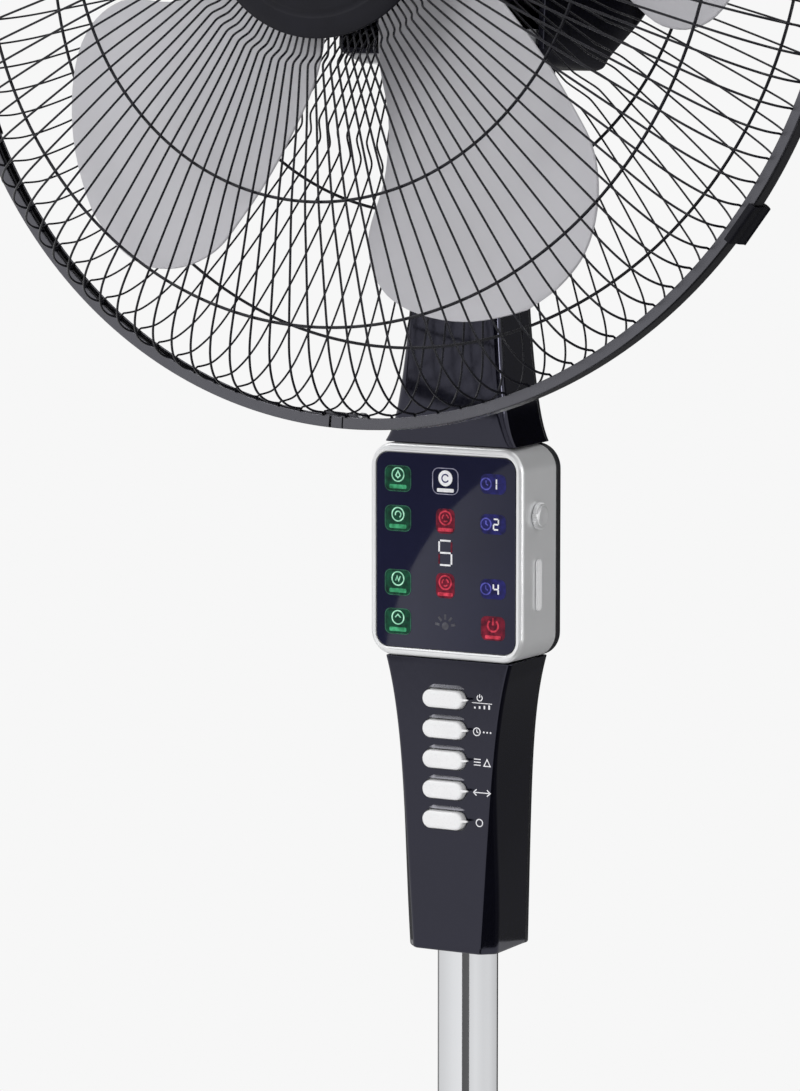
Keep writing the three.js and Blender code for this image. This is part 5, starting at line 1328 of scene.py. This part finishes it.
def add_card(name, corners, strength, fade=None):
    """A flat card, in metres, that is seen only in glossy reflections.

    With fade = (x, strength), its strength changes steadily from the first corner's x to that one's.
    """
    mesh = bpy.data.meshes.new(name)
    mesh.from_pydata(corners, [], [tuple(range(len(corners)))])
    card = new_object(name, mesh)
    look, shader, place = new_look(name)
    look.node_tree.nodes.remove(shader)
    tint = ramp(look, noise(look, place, 2), (0.97, 0.97, 0.97), (1, 1, 1))
    if fade:
        across = add_node(look, "SeparateXYZ", {"Vector": place}).outputs["X"]
        inputs = {"From Min": corners[0][0], "From Max": fade[0], "To Min": strength, "To Max": fade[1]}
        strength = add_node(look, "MapRange", {"Value": across, **inputs}).outputs["Result"]
    show(look, add_node(look, "Emission", {"Color": tint, "Strength": strength}).outputs["Emission"])
    mesh.materials.append(look)
    for ray in ("camera", "diffuse", "transmission", "shadow", "volume_scatter"):
        setattr(card, f"visible_{ray}", False)


def around(radius, azimuths, low, high):
    """Corners of an upright card that stands between two azimuths round the pole."""
    (ax, ay), (bx, by) = [(radius * cos(radians(t)), radius * sin(radians(t))) for t in azimuths]
    return [(ax, ay, low), (bx, by, low), (bx, by, high), (ax, ay, high)]


# Upright cards, 2 m from the pole: azimuths, lowest and highest point, strength. They shade what the gloss reflects.
CARD_RADIUS = 2.0
SIDE_CARDS = {
    "dark_side_low": ((35, 78), 0.0, 0.38, 0.12),
    "dark_side_middle": ((35, 78), 0.38, 0.47, 0.08),
    "dark_side_high": ((35, 78), 0.47, 0.90, 0.12),
    "dark_back": ((78, 118), 0.0, 0.85, 0.06),
    "dark_top_side": ((35, 78), 0.90, 2.4, 0.01),
    "dark_top_back": ((78, 125), 0.85, 2.4, 0.01),
}
FRONT_CARDS = {
    "dark_corner_low": ((-78, -20), 0.0, 0.38, 0.04),
    "dark_corner_right": ((-20, 35), 0.0, 0.38, 0.08),
    "dark_corner_middle": ((-36, -21), 0.38, 0.54, 0.01),
    "dark_corner_high": ((-85, -20), 0.54, 1.05, 0.005),
    "dark_left": ((128, 165), 0.0, 0.38, 0.15),
    "grey_left": ((145, 200), 0.39, 0.56, 0.55),
    "dark_corner_foot": ((-20, -5), 0.47, 0.56, 0.005),
    "bright_corner": ((-19, -11), 0.56, 1.3, 14),
}
# Cards flat on the floor: azimuths, strength.
GROUND_CARDS = (((32, 75), 0.1), ((75, 118), 0.1), ((-78, -20), 0.04), ((-20, 32), 0.08))
GROUND_NEAR, GROUND_FAR, GROUND_LIFT = 0.3, 2.6, 0.001
# The stripe across the glass: the depth of its cards, and the circle that bounds the dark one.
LENS_CARD_Y = -1.6
LENS_CENTRE, LENS_RADIUS = (-0.7327, 0.3732), 0.226
LENS_LEFT, LENS_TOP = -1.0, 0.62
# What the pole reflects, as (place, strength): from its left edge, -1, to its right edge, 1, for the camera's view.
POLE_TONES = (
    (-0.998, 0.25), (-0.95, 0.25), (-0.95, 0.74), (-0.5, 0.90), (-0.195, 0.95), (-0.195, 0.115), (0.045, 0.13),
    (0.045, 0.80), (0.25, 0.88), (0.5, 0.79), (0.7, 0.80), (0.9, 0.66), (0.955, 0.6), (0.955, 0.05), (0.999, 0.05))
POLE_STEP = 0.06
POLE_SEEN_FROM = -60.6
POLE_CARD_RADIUS = 0.06
POLE_CARD_SPAN = (0.07, 0.5335)


def pole_azimuth(u):
    """Where a ray that the pole reflects at u meets the circle of its cards."""
    pole = box("inner_tube")[1].x * MM
    return 2 * degrees(asin(u)) + POLE_SEEN_FROM - degrees(asin(pole / POLE_CARD_RADIUS * u))


def add_upright_cards(cards):
    for name, (azimuths, low, high, strength) in cards.items():
        add_card(name, around(CARD_RADIUS, azimuths, low, high), strength)


def build_light():
    add_lamp("key", (-1.3, -2.6, 2.2), (1.8, 1.8), 46)
    add_lamp("fill", (2.2, -1.8, 1.4), (1.6, 1.6), 12)
    add_lamp("back", (0.5, 2.6, 2.0), (1.8, 1.2), 14)
    add_upright_cards(SIDE_CARDS)
    for number, (azimuths, strength) in enumerate(GROUND_CARDS, 1):
        near, far = [around(radius, azimuths, GROUND_LIFT, 0)[:2] for radius in (GROUND_NEAR, GROUND_FAR)]
        add_card(f"dark_ground_{number}", [near[0], far[0], far[1], near[1]], strength)

    bound = [(x, LENS_CARD_Y, z) for x, z in arc(LENS_RADIUS, 100, 170, 24, LENS_CENTRE)]
    corners = ((LENS_LEFT, bound[-1][2]), (LENS_LEFT, LENS_TOP), (bound[0][0], LENS_TOP))
    add_card("dark_lens", [*bound, *((x, LENS_CARD_Y, z) for x, z in corners)], 0.02)
    corners = ((-0.93, 0.38), (-0.80, 0.38), (-0.80, LENS_TOP), (-0.93, LENS_TOP))
    add_card("light_lens", [(x, LENS_CARD_Y - 0.01, z) for x, z in corners], 0.93, (-0.83, 0.45))
    add_upright_cards(FRONT_CARDS)
    add_card("bright_top", [(-1.6, -1.3, 2.2), (-0.1, -1.3, 2.2), (-0.1, 0.2, 2.2), (-1.6, 0.2, 2.2)], 3.6)
    for (left, first), (right, last) in zip(POLE_TONES, POLE_TONES[1:]):
        parts = ceil((right - left) / POLE_STEP)
        for k in range(parts):
            azimuths = [pole_azimuth(left + (right - left) * p / parts) for p in (k, k + 1)]
            strength = first + (last - first) * (k + 0.5) / parts
            add_card("pole_card", around(POLE_CARD_RADIUS, azimuths, *POLE_CARD_SPAN), strength)


# ---------------------------------------------------------------- the scene
for build in (build_base, build_pole, build_lower_housing, build_buttons, build_display, build_neck, build_tilt,
              build_motor_cover, build_vent_shade_sleeve, build_rotor, build_guards, build_rim, build_clips,
              build_display_marks, build_button_marks, dress_cad_nodes, build_floor, build_world, build_light):
    build()

scene = bpy.context.scene
scene.view_settings.view_transform = "Standard"
